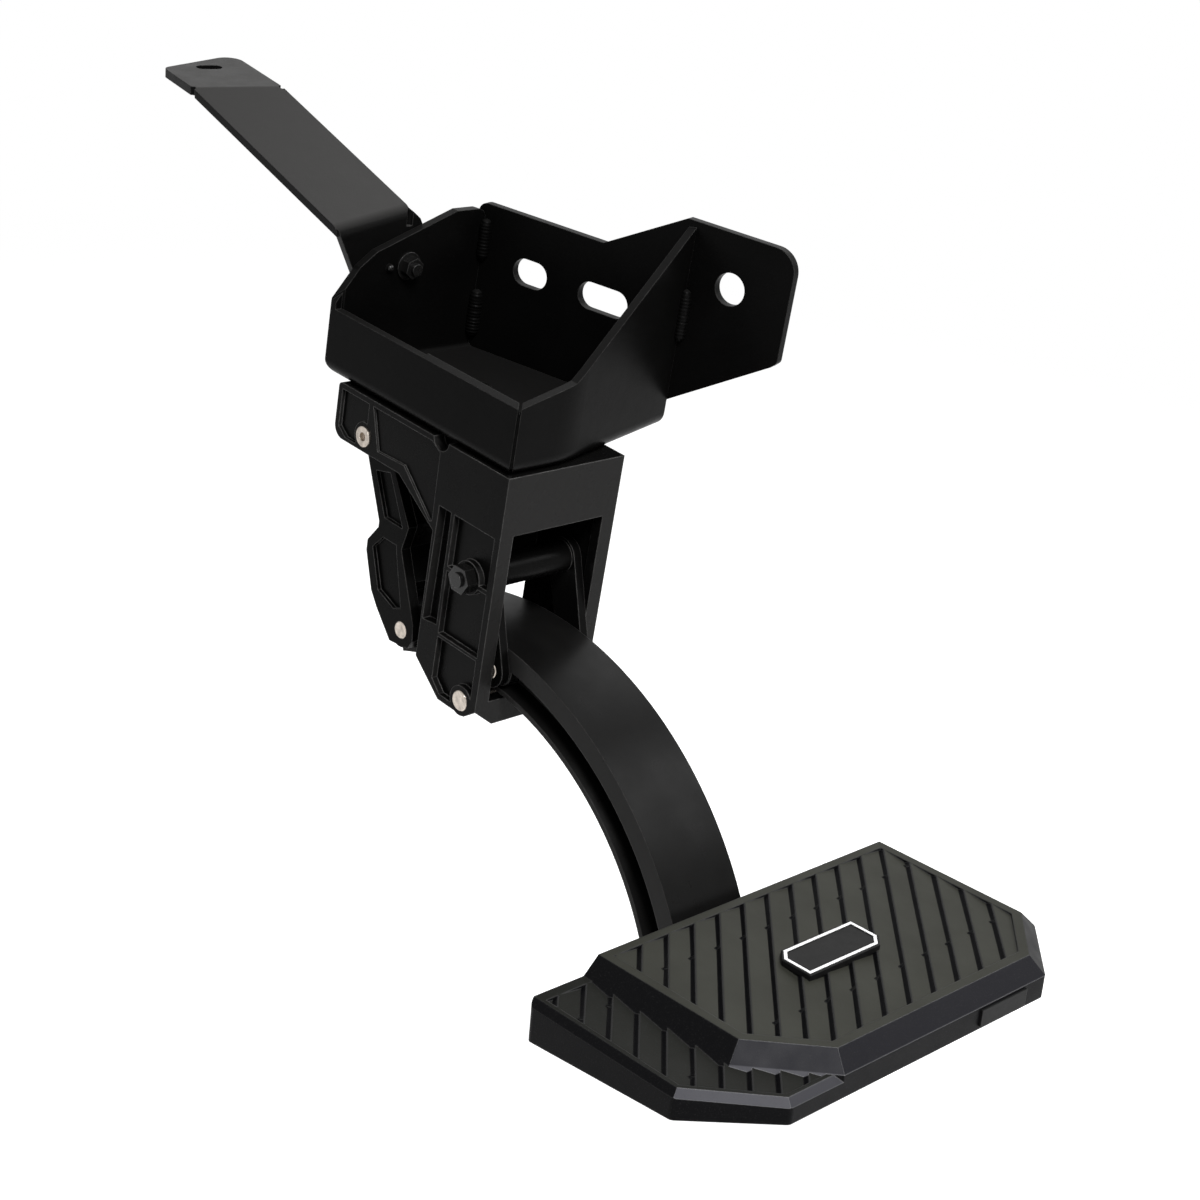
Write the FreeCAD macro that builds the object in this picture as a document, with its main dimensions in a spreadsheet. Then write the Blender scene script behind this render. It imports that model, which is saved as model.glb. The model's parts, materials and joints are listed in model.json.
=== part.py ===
import FreeCAD, Part
import math
import os
import Sketcher

# A retractable bed step: a folded steel bracket carries a cast housing, a four-bar linkage in the
# housing swings a curved arm, and the arm carries a two-level step pad. All lengths are millimetres,
# all angles degrees. The model is drawn about the housing: X = 0 on its middle plane, Y = 0 on its
# front face with +Y to the rear, Z = 0 on its top. At the end every piece is shifted so that the
# origin is the centre of the bracket's round bolt hole, on the face that bears on the vehicle.

Vector = FreeCAD.Vector
Rotation = FreeCAD.Rotation
Placement = FreeCAD.Placement
X_AXIS = Vector(1, 0, 0)
Y_AXIS = Vector(0, 1, 0)
Z_AXIS = Vector(0, 0, 1)

os.makedirs("parts", exist_ok=True)
doc = FreeCAD.newDocument("bed_step")
sheet = doc.addObject("Spreadsheet::Sheet", "Sizes")


class Size:
    """A length or angle: its value now, and the sheet expression that it comes from."""

    def __init__(self, value, text):
        self.value = float(value)
        self.text = text

    def _join(self, other, sign, value, swap=False):
        other = as_size(other)
        left, right = (other, self) if swap else (self, other)
        return Size(value(left.value, right.value), f"({left.text} {sign} {right.text})")

    def __add__(self, other):
        return self._join(other, "+", lambda a, b: a + b)

    def __radd__(self, other):
        return self._join(other, "+", lambda a, b: a + b, swap=True)

    def __sub__(self, other):
        return self._join(other, "-", lambda a, b: a - b)

    def __rsub__(self, other):
        return self._join(other, "-", lambda a, b: a - b, swap=True)

    def __mul__(self, other):
        return self._join(other, "*", lambda a, b: a * b)

    def __rmul__(self, other):
        return self._join(other, "*", lambda a, b: a * b, swap=True)

    def __truediv__(self, other):
        return self._join(other, "/", lambda a, b: a / b)

    def __neg__(self):
        return Size(-self.value, f"(-1 * {self.text})")


def as_size(number):
    return number if isinstance(number, Size) else Size(number, repr(float(number)))


def sine(angle):
    return Size(math.sin(math.radians(angle.value)), f"sin({angle.text})")


def cosine(angle):
    return Size(math.cos(math.radians(angle.value)), f"cos({angle.text})")


def tangent(angle):
    return Size(math.tan(math.radians(angle.value)), f"tan({angle.text})")


def root(number):
    return Size(math.sqrt(number.value), f"sqrt({number.text})")


def hypotenuse(a, b):
    return root(a * a + b * b)


next_row = 1


def size(name, value, note):
    """Write one driving dimension in the sheet and return it."""
    global next_row
    sheet.set(f"A{next_row}", name)
    sheet.set(f"B{next_row}", str(value))
    sheet.set(f"C{next_row}", note)
    sheet.setAlias(f"B{next_row}", name)
    next_row += 1
    return Size(value, f"Sizes.{name}")


# Plate and fits
gauge = size("gauge", 6, "thickness of the bracket's sheet")
bend = size("bend", 4, "inside radius of the bracket's folds")
pin_play = size("pin_play", 0.03, "radial clearance of every pin, bolt and bush")
side_play = size("side_play", 1, "gap between a link and what it swings beside")
stop_gap = size("stop_gap", 2.6, "gap between the arm and its stop rod at rest")

# Bracket
tray_depth = size("tray_depth", 194, "front to rear, outside")
tray_side_height = size("tray_side_height", 46, "left wall, and the front wall's low end")
tray_front_high = size("tray_front_high", 57, "front wall at the fold of its wing")
wing_fold = size("wing_fold", 47, "left corner to the fold of the wing")
wing_rise = size("wing_rise", 83, "rise of the wing's top edge, fold to back plate")
wing_corner = size("wing_corner", 16, "radius of the wing's lower corner")
wing_bend = size("wing_bend", 90, "outside radius of the wing's fold")
wall_corner = size("wall_corner", 7, "upper corners of rear wall and back plate, where they meet")
seam = size("seam", 2, "open seam at the tray's front corner")
rear_seam = size("rear_seam", 1.2, "seam at the tray's rear corner")
rear_wall_high = size("rear_wall_high", 106, "rear wall at the back plate")
rear_wall_mid = size("rear_wall_mid", 83, "rear wall at its upper bend in outline")
rear_wall_low = size("rear_wall_low", 51, "rear wall at its left end")
plate_skew = size("plate_skew", 13.76, "back plate's turn from the front-rear direction")
plate_corner = size("plate_corner", 122.4, "tray's left side to the back plate, at the rear wall")
plate_valley = size("plate_valley", 109.5, "back plate's height behind the tray")
plate_high = size("plate_high", 144, "back plate's height at the bolt hole")
plate_length = size("plate_length", 240, "back plate, rear end to front end")
plate_step = size("plate_step", 96.5, "rear end to the start of the back plate's rise")
plate_crest = size("plate_crest", 157, "rear end to the end of the back plate's rise")
plate_lift = size("plate_lift", 134, "rear end to where its lower edge leaves the floor")
plate_front_low = size("plate_front_low", 70, "lower edge's height at the front end")
hole_r = size("hole_r", 11, "radius of the bolt hole in the back plate")
hole_along = size("hole_along", 196.3, "rear end to the bolt hole")
hole_up = size("hole_up", 107.2, "height of the bolt hole")
slot_r = size("slot_r", 9.5, "half the width of the back plate's slots")
slot_short = size("slot_short", 28, "short slot, end to end")
slot_long = size("slot_long", 40, "long slot, end to end")
slot_short_along = size("slot_short_along", 42.6, "rear end to the short slot's middle")
slot_long_along = size("slot_long_along", 102.9, "rear end to the long slot's middle")
slot_up = size("slot_up", 71, "height of the slots")
plate_corner_r = size("plate_corner_r", 16, "upper front corner of the back plate")
plate_low_r = size("plate_low_r", 4, "lower front corners of the back plate")

# Strap
strap_width = size("strap_width", 61, "width of the strap")
strap_tilt = size("strap_tilt", 9, "turn of the strap about its bolt")
strap_slope = size("strap_slope", 17, "rise of the strap to the rear")
strap_left = size("strap_left", 172.4, "left edge, lower fold to upper fold")
strap_right = size("strap_right", 151.5, "right edge, lower fold to upper fold")
strap_tab_left = size("strap_tab_left", 51, "left edge of the strap's end tab")
strap_tab_right = size("strap_tab_right", 83, "right edge of the strap's end tab")
strap_tab_turn = size("strap_tab_turn", 10.8, "turn of the end tab towards the right")
strap_lean = size("strap_lean", 29, "lean of the strap's leg from upright")
strap_leg = size("strap_leg", 72, "length of the strap's leg")
strap_pin_r = size("strap_pin_r", 2.6, "locating pin beside the strap's bolt")
strap_pin_x = size("strap_pin_x", 42, "tray's left side to the locating pin")
strap_up = size("strap_up", 99, "height of the lower fold's left end")
strap_bend = size("strap_bend", 9, "outside radius of the strap's lower fold")
strap_slot_r = size("strap_slot_r", 5, "half the width of the strap's slot")
strap_slot_long = size("strap_slot_long", 19, "strap's slot, end to end")
strap_bolt_x = size("strap_bolt_x", 58, "tray's left side to the strap bolt")
strap_bolt_up = size("strap_bolt_up", 71, "height of the strap bolt")
strap_bolt_r = size("strap_bolt_r", 4, "strap bolt's shank radius")
strap_head = size("strap_head", 13, "strap bolt's head and nut, across flats")

# Housing
housing_width = size("housing_width", 100, "across both side walls")
wall = size("wall", 9, "side walls")
face_wall = size("face_wall", 8, "front wall")
roof = size("roof", 10, "top wall")
housing_reach = size("housing_reach", 175, "front to rear at the top")
band = size("band", 38.5, "height of the side walls behind the leg")
leg = size("leg", 64, "front to rear of the leg")
leg_drop = size("leg_drop", 174.5, "height of the leg's side walls")
chin_drop = size("chin_drop", 179, "depth of the cross bar under the window")
chin = size("chin", 7, "thickness of the cross bar")
window_top = size("window_top", 41.5, "depth of the window's upper edge")
window_low = size("window_low", 161, "depth of the window's lower edge")
stile = size("stile", 11, "front wall left beside the window")
rim = size("rim", 4, "ribs round the pockets of the castings")
pocket_deep = size("pocket_deep", 4.5, "depth of the pockets in the side walls")
notch_r = size("notch_r", 7.5, "half-round notch in the side walls' top edge")
notch_y = size("notch_y", 67, "place of the notch")
knee = size("knee", 40, "length of the sloped edge from the band to the leg")
foot_cut = size("foot_cut", 27, "cut of the leg's lower rear corner")
toe = size("toe", 10, "cut of the leg's lower front corner")
band_corner = size("band_corner", 9, "lower rear corner of the side walls")
roof_corner = size("roof_corner", 3, "upper rear corner of the side walls")
chin_in = size("chin_in", 16.5, "side wall to the end of the cross bar's lower edge")
boss_r = size("boss_r", 12.5, "bosses round the housing's pins")
nut_boss_r = size("nut_boss_r", 11.5, "bosses round the hub bolt")
back_web = size("back_web", 5, "thickness of the web between the legs")
back_web_drop = size("back_web_drop", 104, "depth of that web's lower edge")
slot_front = size("slot_front", 48.5, "front edge of the deep pocket in the side wall")
rib_low = size("rib_low", 129, "cross rib of the side wall")
housing_bolt_x = size("housing_bolt_x", 18, "bolts that hold the tray, from the middle")
housing_bolt_front = size("housing_bolt_front", 38, "front pair of those bolts")
housing_bolt_rear = size("housing_bolt_rear", 112, "rear pair of those bolts")

# Linkage, in the housing's frame
upper_y = size("upper_y", 143.7, "rear link's fixed pivot")
upper_drop = size("upper_drop", 27.9, "rear link's fixed pivot, below the top")
hub_y = size("hub_y", 25, "front link's fixed pivot")
hub_drop = size("hub_drop", 79.4, "front link's fixed pivot, below the top")
rest_pin_y = size("rest_pin_y", 15.3, "stop rod under the arm")
pin_r = size("pin_r", 7, "upper pin and stop rod")
link_pin_r = size("link_pin_r", 6, "lower pins of both links")
bush_wall = size("bush_wall", 2.5, "wall of the bushes")
swing_room = size("swing_room", 3.6, "extra radius of the arm's open bore")
rear_link_wall = size("rear_link_wall", 8, "cheeks of the rear link")
front_link_wall = size("front_link_wall", 6.5, "cheeks of the front link")
tube_r = size("tube_r", 10.8, "outside radius of the front link's tube")
bolt_r = size("bolt_r", 5, "shank radius of the hub bolt")
hub_head = size("hub_head", 17, "hub bolt's head and nut, across flats")
proud = size("proud", 1, "how far the pins stand out of the side walls")
dimple = size("dimple", 3, "radius of the recess in the upper pin's ends")
rear_hip = size("rear_hip", 5, "rear link's widest point, in front of its upper pivot")
waist = size("waist", 14.5, "rear link's waist, in front of its upper pivot")
eye_r = size("eye_r", 13, "eyes of the links")
arm_bush = size("arm_bush", 22, "length of the bushes in the arm")

# Arm
arm_width = size("arm_width", 62, "width of the arm")
arm_outer = size("arm_outer", 239, "radius of the arm's upper face")
arm_deep = size("arm_deep", 34, "section depth of the arm")
arm_centre_y = size("arm_centre_y", 17.9, "centre of the arm's curve")
arm_centre_drop = size("arm_centre_drop", 360.4, "centre of the arm's curve, below the top")
arm_flange = size("arm_flange", 14, "upper flange of the arm's side")
arm_lip = size("arm_lip", 3.5, "lower lip of the arm's side")
arm_recess = size("arm_recess", 12, "depth of the recess in each side")
arm_tail = size("arm_tail", 23, "arc behind the top of the curve")
arm_sweep = size("arm_sweep", 75, "arc in front of the top of the curve")
lower_turn = size("lower_turn", 19.9, "rear lower pivot, arc behind the top of the curve")
front_turn = size("front_turn", 3.7, "front lower pivot, arc in front of the top of the curve")

# Step pad
pad_back = size("pad_back", 193.7, "housing's front to the pad's back edge")
pad_drop = size("pad_drop", 219.1, "housing's top to the pad's back edge")
deck_tilt = size("deck_tilt", 5.94, "the deck's rise to the front")
sole_taper = size("sole_taper", 4.3, "angle between the deck and the underside")
pad_left = size("pad_left", 162, "left reach of the lower level")
pad_right = size("pad_right", 163, "right reach")
deck_left = size("deck_left", 107, "left reach of the deck")
pad_depth = size("pad_depth", 165.5, "front to rear")
pad_rear_thick = size("pad_rear_thick", 38.5, "thickness at the back edge")
bevel = size("bevel", 11, "drop and width of the bevel round the deck")
cut_left = size("cut_left", 46, "front left corner cut of the lower level")
deck_cut = size("deck_cut", 46, "front left corner cut of the deck's foot")
cut_right_x = size("cut_right_x", 47, "front right corner cut, across")
cut_right_y = size("cut_right_y", 43, "front right corner cut, front to rear")
edge_bevel = size("edge_bevel", 4.5, "bevel on the lower level's edge")
shell = size("shell", 5, "walls of the pad")
tread_pitch = size("tread_pitch", 15.9, "pitch of the treads")
tread_shift = size("tread_shift", 1.8, "first tread's edge from the pad's middle")
tread_deep = size("tread_deep", 2.4, "drop of each tread's ramp")
tread_border = size("tread_border", 6.5, "smooth border round the deck's treads")
level_border = size("level_border", 7.5, "smooth border round the lower level's treads")
deck_wall = size("deck_wall", 7, "deck's top wall, treads included")
rib = size("rib", 3, "ribs under the deck")
post_r = size("post_r", 6.5, "posts for the pad screws")
screw_bite = size("screw_bite", 8, "how far the pad screws reach into their posts")
plate_fit = size("plate_fit", 0.5, "gap round the base plate")
carrier = size("carrier", 4, "thickness of the carrier plate")
foot = size("foot", 8, "thickness of the arm's foot plate")
foot_width = size("foot_width", 84, "width of the foot plate")
foot_bolt_r = size("foot_bolt_r", 4, "foot bolts' shank radius")
foot_bolt_x = size("foot_bolt_x", 28, "foot bolts from the middle")
foot_bolt_rear = size("foot_bolt_rear", 30, "pad's back edge to the rear foot bolts")
foot_bolt_front = size("foot_bolt_front", 96, "pad's back edge to the front foot bolts")
heel = size("heel", 37, "foot plate behind the pad's back edge")
foot_reach = size("foot_reach", 118, "foot plate under the pad")
pad_screw_x = size("pad_screw_x", 118, "pad screws from the middle")
pad_screw_r = size("pad_screw_r", 2.5, "pad screws' radius")
pad_corner = size("pad_corner", 5, "upright corners of the pad")
badge_x = size("badge_x", 11, "middle of the pad to the deck badge's middle")
badge_y = size("badge_y", 80, "pad's back edge to the deck badge's middle")
badge_long = size("badge_long", 72, "length of the deck badge")
badge_wide = size("badge_wide", 30, "width of the deck badge")
badge_thick = size("badge_thick", 2.5, "thickness of the badges")

doc.recompute()

# Places that several pieces share
half_width = housing_width / 2
tray_left = -half_width
plate_x = tray_left + plate_corner
plate_y = tray_depth - gauge
arm_inner = arm_outer - arm_deep
arm_middle = arm_outer - arm_deep / 2
arm_centre_z = -arm_centre_drop
upper_z = -upper_drop
hub_z = -hub_drop
lower_y = arm_centre_y + arm_middle * sine(lower_turn)
lower_z = arm_centre_z + arm_middle * cosine(lower_turn)
front_y = arm_centre_y - arm_middle * sine(front_turn)
front_z = arm_centre_z + arm_middle * cosine(front_turn)
stop_reach = arm_inner - stop_gap - pin_r
rest_pin_off = arm_centre_y - rest_pin_y
rest_pin_z = arm_centre_z + root(stop_reach * stop_reach - rest_pin_off * rest_pin_off)
inside = half_width - wall
arm_side = arm_width / 2
link_inner = arm_side + side_play
rear_link_outer = link_inner + rear_link_wall
front_link_outer = link_inner + front_link_wall
bush_r = link_pin_r + pin_play + bush_wall
upper_bush_r = pin_r + pin_play + bush_wall
pad_y = -pad_back
pad_z = -pad_drop
sole_tilt = deck_tilt + sole_taper
sole_y = pad_y - pad_rear_thick * sine(deck_tilt)
sole_z = pad_z - pad_rear_thick * cosine(deck_tilt)

# The origin: the bolt hole's centre on the back plate's outer face, in the drawing frame
datum_x = plate_x + hole_along * sine(plate_skew) + gauge * cosine(plate_skew)
datum_y = plate_y - hole_along * cosine(plate_skew) + gauge * sine(plate_skew)
datum_z = hole_up

HOUSING_BOLTS = [(x, y) for x in (-housing_bolt_x, housing_bolt_x)
                 for y in (housing_bolt_front, housing_bolt_rear)]
FOOT_BOLTS = [(x, -y) for x in (-foot_bolt_x, foot_bolt_x) for y in (foot_bolt_rear, foot_bolt_front)]
PAD_SCREWS = [(x, -y) for x in (-pad_screw_x, pad_screw_x) for y in (foot_bolt_rear, foot_bolt_front)]
PIECES = []


def place(thing, x=0.0, y=0.0, z=0.0, axis=X_AXIS, angle=0.0):
    """Put a piece at a point of the drawing frame, turned about one axis."""
    x, y, z = as_size(x) - datum_x, as_size(y) - datum_y, as_size(z) - datum_z
    angle = as_size(angle)
    thing.Placement = Placement(Vector(x.value, y.value, z.value), Rotation(axis, angle.value))
    for letter, number in (("x", x), ("y", y), ("z", z)):
        thing.setExpression(f"Placement.Base.{letter}", number.text)
    if angle.value:
        thing.setExpression("Placement.Rotation.Angle", f"{angle.text} * 1 deg")


def piece(thing, label):
    """Name a finished piece and keep it for the export."""
    thing.Label = label
    PIECES.append(thing)
    return thing


def body(label):
    return piece(doc.addObject("PartDesign::Body", label), label)


def plane_of(owner, role):
    return [f for f in owner.Origin.OriginFeatures if f.Role == role][0]


def pin_point(sketch, geometry, point, x, y):
    """Tie a point of a sketch to the sheet by its two distances from the sketch's origin."""
    for kind, number in (("DistanceX", as_size(x)), ("DistanceY", as_size(y))):
        row = sketch.addConstraint(Sketcher.Constraint(kind, -1, 1, geometry, point, number.value))
        sketch.setExpression(f"Constraints[{row}]", number.text)


def draw_outline(sketch, points):
    """A closed outline of straight edges."""
    points = [(as_size(x), as_size(y)) for x, y in points]
    first = len(sketch.Geometry)
    count = len(points)
    for i, (x, y) in enumerate(points):
        nx, ny = points[(i + 1) % count]
        edge = Part.LineSegment(Vector(x.value, y.value, 0), Vector(nx.value, ny.value, 0))
        sketch.addGeometry(edge, False)
    for i in range(count):
        follow = first + (i + 1) % count
        sketch.addConstraint(Sketcher.Constraint("Coincident", first + i, 2, follow, 1))
    for i, (x, y) in enumerate(points):
        pin_point(sketch, first + i, 1, x, y)


def draw_circle(sketch, x, y, radius):
    x, y, radius = as_size(x), as_size(y), as_size(radius)
    ring = Part.Circle(Vector(x.value, y.value, 0), Z_AXIS, radius.value)
    row = sketch.addGeometry(ring, False)
    pin_point(sketch, row, 3, x, y)
    limit = sketch.addConstraint(Sketcher.Constraint("Radius", row, radius.value))
    sketch.setExpression(f"Constraints[{limit}]", radius.text)


def draw_slot(sketch, x, y, length, radius):
    """A slot with round ends along the sketch's first axis."""
    x, y, length, radius = as_size(x), as_size(y), as_size(length), as_size(radius)
    reach = length / 2 - radius
    left, right = (x - reach), (x + reach)
    up = radius.value
    cy = y.value
    a = sketch.addGeometry(Part.ArcOfCircle(Part.Circle(Vector(right.value, cy, 0), Z_AXIS, up),
                                            -math.pi / 2, math.pi / 2), False)
    b = sketch.addGeometry(Part.LineSegment(Vector(right.value, cy + up, 0),
                                            Vector(left.value, cy + up, 0)), False)
    c = sketch.addGeometry(Part.ArcOfCircle(Part.Circle(Vector(left.value, cy, 0), Z_AXIS, up),
                                            math.pi / 2, 3 * math.pi / 2), False)
    d = sketch.addGeometry(Part.LineSegment(Vector(left.value, cy - up, 0),
                                            Vector(right.value, cy - up, 0)), False)
    for one, two in ((a, b), (b, c), (c, d), (d, a)):
        sketch.addConstraint(Sketcher.Constraint("Tangent", one, 2, two, 1))
    sketch.addConstraint(Sketcher.Constraint("Horizontal", b))
    pin_point(sketch, a, 3, right, y)
    row = sketch.addConstraint(Sketcher.Constraint("DistanceX", -1, 1, c, 3, left.value))
    sketch.setExpression(f"Constraints[{row}]", left.text)
    row = sketch.addConstraint(Sketcher.Constraint("Radius", a, up))
    sketch.setExpression(f"Constraints[{row}]", radius.text)


def sketch_on(owner, role, offset=0.0, outlines=(), circles=(), slots=()):
    """A sketch on one of the body's own planes, moved along that plane's normal."""
    sketch = owner.newObject("Sketcher::SketchObject", "Sketch")
    sketch.AttachmentSupport = [(plane_of(owner, role), "")]
    sketch.MapMode = "FlatFace"
    offset = as_size(offset)
    sketch.AttachmentOffset = Placement(Vector(0, 0, offset.value), Rotation())
    sketch.setExpression("AttachmentOffset.Base.z", offset.text)
    for points in outlines:
        draw_outline(sketch, points)
    for circle in circles:
        draw_circle(sketch, *circle)
    for slot in slots:
        draw_slot(sketch, *slot)
    return sketch


def extrude(owner, kind, sketch, length, both=False, reverse=False):
    """A Pad or a Pocket of a sketch."""
    length = as_size(length)
    feature = owner.newObject(f"PartDesign::{kind}", kind)
    feature.Profile = sketch
    feature.Length = length.value
    feature.setExpression("Length", length.text)
    feature.Reversed = reverse
    if both:
        feature.SideType = "Symmetric"
    doc.recompute()
    return feature


def pad(owner, sketch, length, both=False, reverse=False):
    return extrude(owner, "Pad", sketch, length, both, reverse)


def pocket(owner, sketch, length, both=False, reverse=False):
    before = owner.Shape.Volume
    feature = extrude(owner, "Pocket", sketch, length, both, reverse)
    if owner.Shape.Volume > before - 1e-3:
        raise RuntimeError(f"a pocket of {owner.Label} cuts nothing")
    return feature


def mirror(owner, features):
    """Repeat features on the other side of the middle plane."""
    feature = owner.newObject("PartDesign::Mirrored", "Mirrored")
    feature.Originals = features
    feature.MirrorPlane = (plane_of(owner, "YZ_Plane"), [""])
    owner.Tip = feature
    doc.recompute()
    return feature


def straight_edges(shape, test):
    names = []
    for i, edge in enumerate(shape.Edges, 1):
        if isinstance(edge.Curve, Part.Line) and test(edge):
            names.append(f"Edge{i}")
    return names


def edges_at(shape, axis, spots, tolerance=0.02):
    """Straight edges along an axis (0, 1 or 2) that pass through the given spots of the other two."""
    others = [k for k in range(3) if k != axis]
    spots = [(as_size(u).value, as_size(v).value) for u, v in spots]

    def test(edge):
        a, b = edge.Vertexes[0].Point, edge.Vertexes[-1].Point
        if any(abs(a[k] - b[k]) > tolerance for k in others):
            return False
        return any(abs(a[others[0]] - u) < tolerance and abs(a[others[1]] - v) < tolerance
                   for u, v in spots)

    return straight_edges(shape, test)


def dress(owner, kind, names, amount):
    """Fillet or Chamfer the named edges of the body's last feature."""
    if not names:
        raise RuntimeError(f"no edges to {kind} on {owner.Label}")
    amount = as_size(amount)
    base = owner.Tip
    feature = owner.newObject(f"PartDesign::{kind}", kind)
    feature.Base = (base, names)
    label = "Radius" if kind == "Fillet" else "Size"
    setattr(feature, label, amount.value)
    feature.setExpression(label, amount.text)
    doc.recompute()
    return feature


def local_shape(owner):
    """The body's shape in its own frame."""
    return owner.Tip.Shape


def primitive(kind, **sizes):
    thing = doc.addObject(f"Part::{kind}", kind)
    for name, number in sizes.items():
        number = as_size(number)
        setattr(thing, name, number.value)
        thing.setExpression(name, number.text)
    return thing


def hide_in(kind, base, tool):
    """Part::Cut, Part::Fuse or Part::Common of two things."""
    thing = doc.addObject(f"Part::{kind}", kind)
    thing.Base = base
    thing.Tool = tool
    return thing


def across(thing, x, y, z):
    """Lay a cylinder's axis along X, starting at the given point, before the shift to the origin."""
    x, y, z = as_size(x), as_size(y), as_size(z)
    thing.Placement = Placement(Vector(x.value, y.value, z.value), Rotation(Y_AXIS, 90))
    for letter, number in (("x", x), ("y", y), ("z", z)):
        thing.setExpression(f"Placement.Base.{letter}", number.text)
    return thing


def bush(label, x_start, length, y, z, radius, bore):
    """A plain tube along X."""
    outside = across(primitive("Cylinder", Radius=radius, Height=length), x_start, 0, 0)
    inside_cut = across(primitive("Cylinder", Radius=bore, Height=length), x_start, 0, 0)
    tube = hide_in("Cut", outside, inside_cut)
    place(tube, 0, y, z)
    return piece(tube, label)


def make_tray():
    """Floor, left wall, front wall with its wing, and rear wall, folded from one sheet."""
    tray = body("bracket_tray")
    place(tray)
    fold_x = tray_left + wing_fold
    along_x, along_y = cosine(plate_skew), sine(plate_skew)
    wing_long = (plate_x - fold_x) * along_x + plate_y * along_y
    plate_rear_x = plate_x - gauge * tangent(plate_skew)
    outer = [(tray_left, 0), (fold_x, 0), (fold_x + wing_long * along_x, wing_long * along_y),
             (plate_rear_x, tray_depth), (tray_left, tray_depth)]
    high = tray_front_high + wing_rise
    pad(tray, sketch_on(tray, "XY_Plane", 0, [outer]), high)
    dress(tray, "Fillet", edges_at(local_shape(tray), 2, [(fold_x, 0)]), wing_bend)
    names = (edges_at(local_shape(tray), 1, [(tray_left, 0)])
             + edges_at(local_shape(tray), 0, [(0, 0), (tray_depth, 0)]))
    dress(tray, "Fillet", names, gauge + bend)

    inner_fold_x = fold_x - gauge * tangent(plate_skew / 2)
    past = wing_long + gauge * 3
    wing_in = (fold_x + past * along_x - gauge * along_y, past * along_y + gauge * along_x)
    rear_in_x = plate_x + gauge * 3
    inner = [(tray_left + gauge, gauge), (inner_fold_x, gauge), wing_in, (rear_in_x, plate_y),
             (tray_left + gauge, plate_y)]
    pocket(tray, sketch_on(tray, "XY_Plane", high, [inner]), high - gauge)
    dress(tray, "Fillet", edges_at(local_shape(tray), 2, [(inner_fold_x, gauge)]), wing_bend - gauge)
    names = (edges_at(local_shape(tray), 1, [(tray_left + gauge, gauge)])
             + edges_at(local_shape(tray), 0, [(gauge, gauge), (plate_y, gauge)]))
    dress(tray, "Fillet", names, bend)

    over = high + gauge
    left_out = tray_left - gauge
    wing_end_x = fold_x + wing_long * along_x
    front_top = [(left_out, tray_side_height), (tray_left, tray_side_height), (fold_x, tray_front_high),
                 (wing_end_x, high), (wing_end_x + gauge * 2, over), (left_out, over)]
    half_depth = tray_depth / 2
    pocket(tray, sketch_on(tray, "XZ_Plane", gauge, [front_top]), gauge + half_depth)
    slope_x = tray_left + (plate_corner / 4)
    crest_x = tray_left + plate_corner * 0.79
    rear_top = [(left_out, rear_wall_low), (tray_left, rear_wall_low),
                (tray_left + plate_corner / 7, rear_wall_low + (rear_wall_mid - rear_wall_low) * 0.7),
                (slope_x, rear_wall_mid), (crest_x, rear_wall_high),
                (wing_end_x + gauge, rear_wall_high), (wing_end_x + gauge, over), (left_out, over)]
    pocket(tray, sketch_on(tray, "XZ_Plane", -half_depth, [rear_top]), half_depth + gauge)
    side_top = [(half_depth, tray_side_height), (plate_y, tray_side_height), (plate_y, over),
                (half_depth, over)]
    pocket(tray, sketch_on(tray, "YZ_Plane", tray_left + gauge, [side_top]), gauge * 2)

    lift_x = plate_x + plate_lift * along_y
    lift_y = plate_y - plate_lift * along_x
    back_x = plate_x + (plate_lift - wing_corner) * along_y
    start = wing_long - wing_corner * 2
    floor_cut = [(fold_x + start * along_x - gauge * along_y, start * along_y + gauge * along_x),
                 wing_in, (lift_x + gauge * 2, lift_y), (back_x, lift_y + wing_corner)]
    pocket(tray, sketch_on(tray, "XY_Plane", gauge, [floor_cut]), gauge)

    def wall_end(edge):
        ends = [vertex.Point for vertex in edge.Vertexes]
        return all(abs(end.z - rear_wall_high.value) < 0.01 and end.x > plate_x.value - gauge.value
                   for end in ends)

    dress(tray, "Fillet", straight_edges(local_shape(tray), wall_end), wall_corner)

    for y, width, turn in ((as_size(0), seam, 45), (tray_depth, rear_seam, -45)):
        slit = tray.newObject("Sketcher::SketchObject", "Seam")
        slit.AttachmentSupport = [(plane_of(tray, "XY_Plane"), "")]
        slit.MapMode = "FlatFace"
        slit.AttachmentOffset = Placement(Vector(tray_left.value, y.value, high.value),
                                          Rotation(Z_AXIS, turn))
        slit.setExpression("AttachmentOffset.Base.x", tray_left.text)
        slit.setExpression("AttachmentOffset.Base.y", y.text)
        slit.setExpression("AttachmentOffset.Base.z", high.text)
        reach = (gauge + bend) * 1.4
        draw_outline(slit, [(-gauge, -width / 2), (reach, -width / 2), (reach, width / 2),
                            (-gauge, width / 2)])
        pocket(tray, slit, high + gauge)

    hole_x = tray_left + strap_bolt_x
    holes = [(hole_x, strap_bolt_up, strap_bolt_r + pin_play),
             (tray_left + strap_pin_x, strap_bolt_up, strap_pin_r + pin_play)]
    pocket(tray, sketch_on(tray, "XZ_Plane", -plate_y, [], holes), gauge * 2)
    spots = [spot + (bolt_r + pin_play,) for spot in HOUSING_BOLTS]
    pocket(tray, sketch_on(tray, "XY_Plane", gauge, [], spots), gauge)
    return tray


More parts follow.
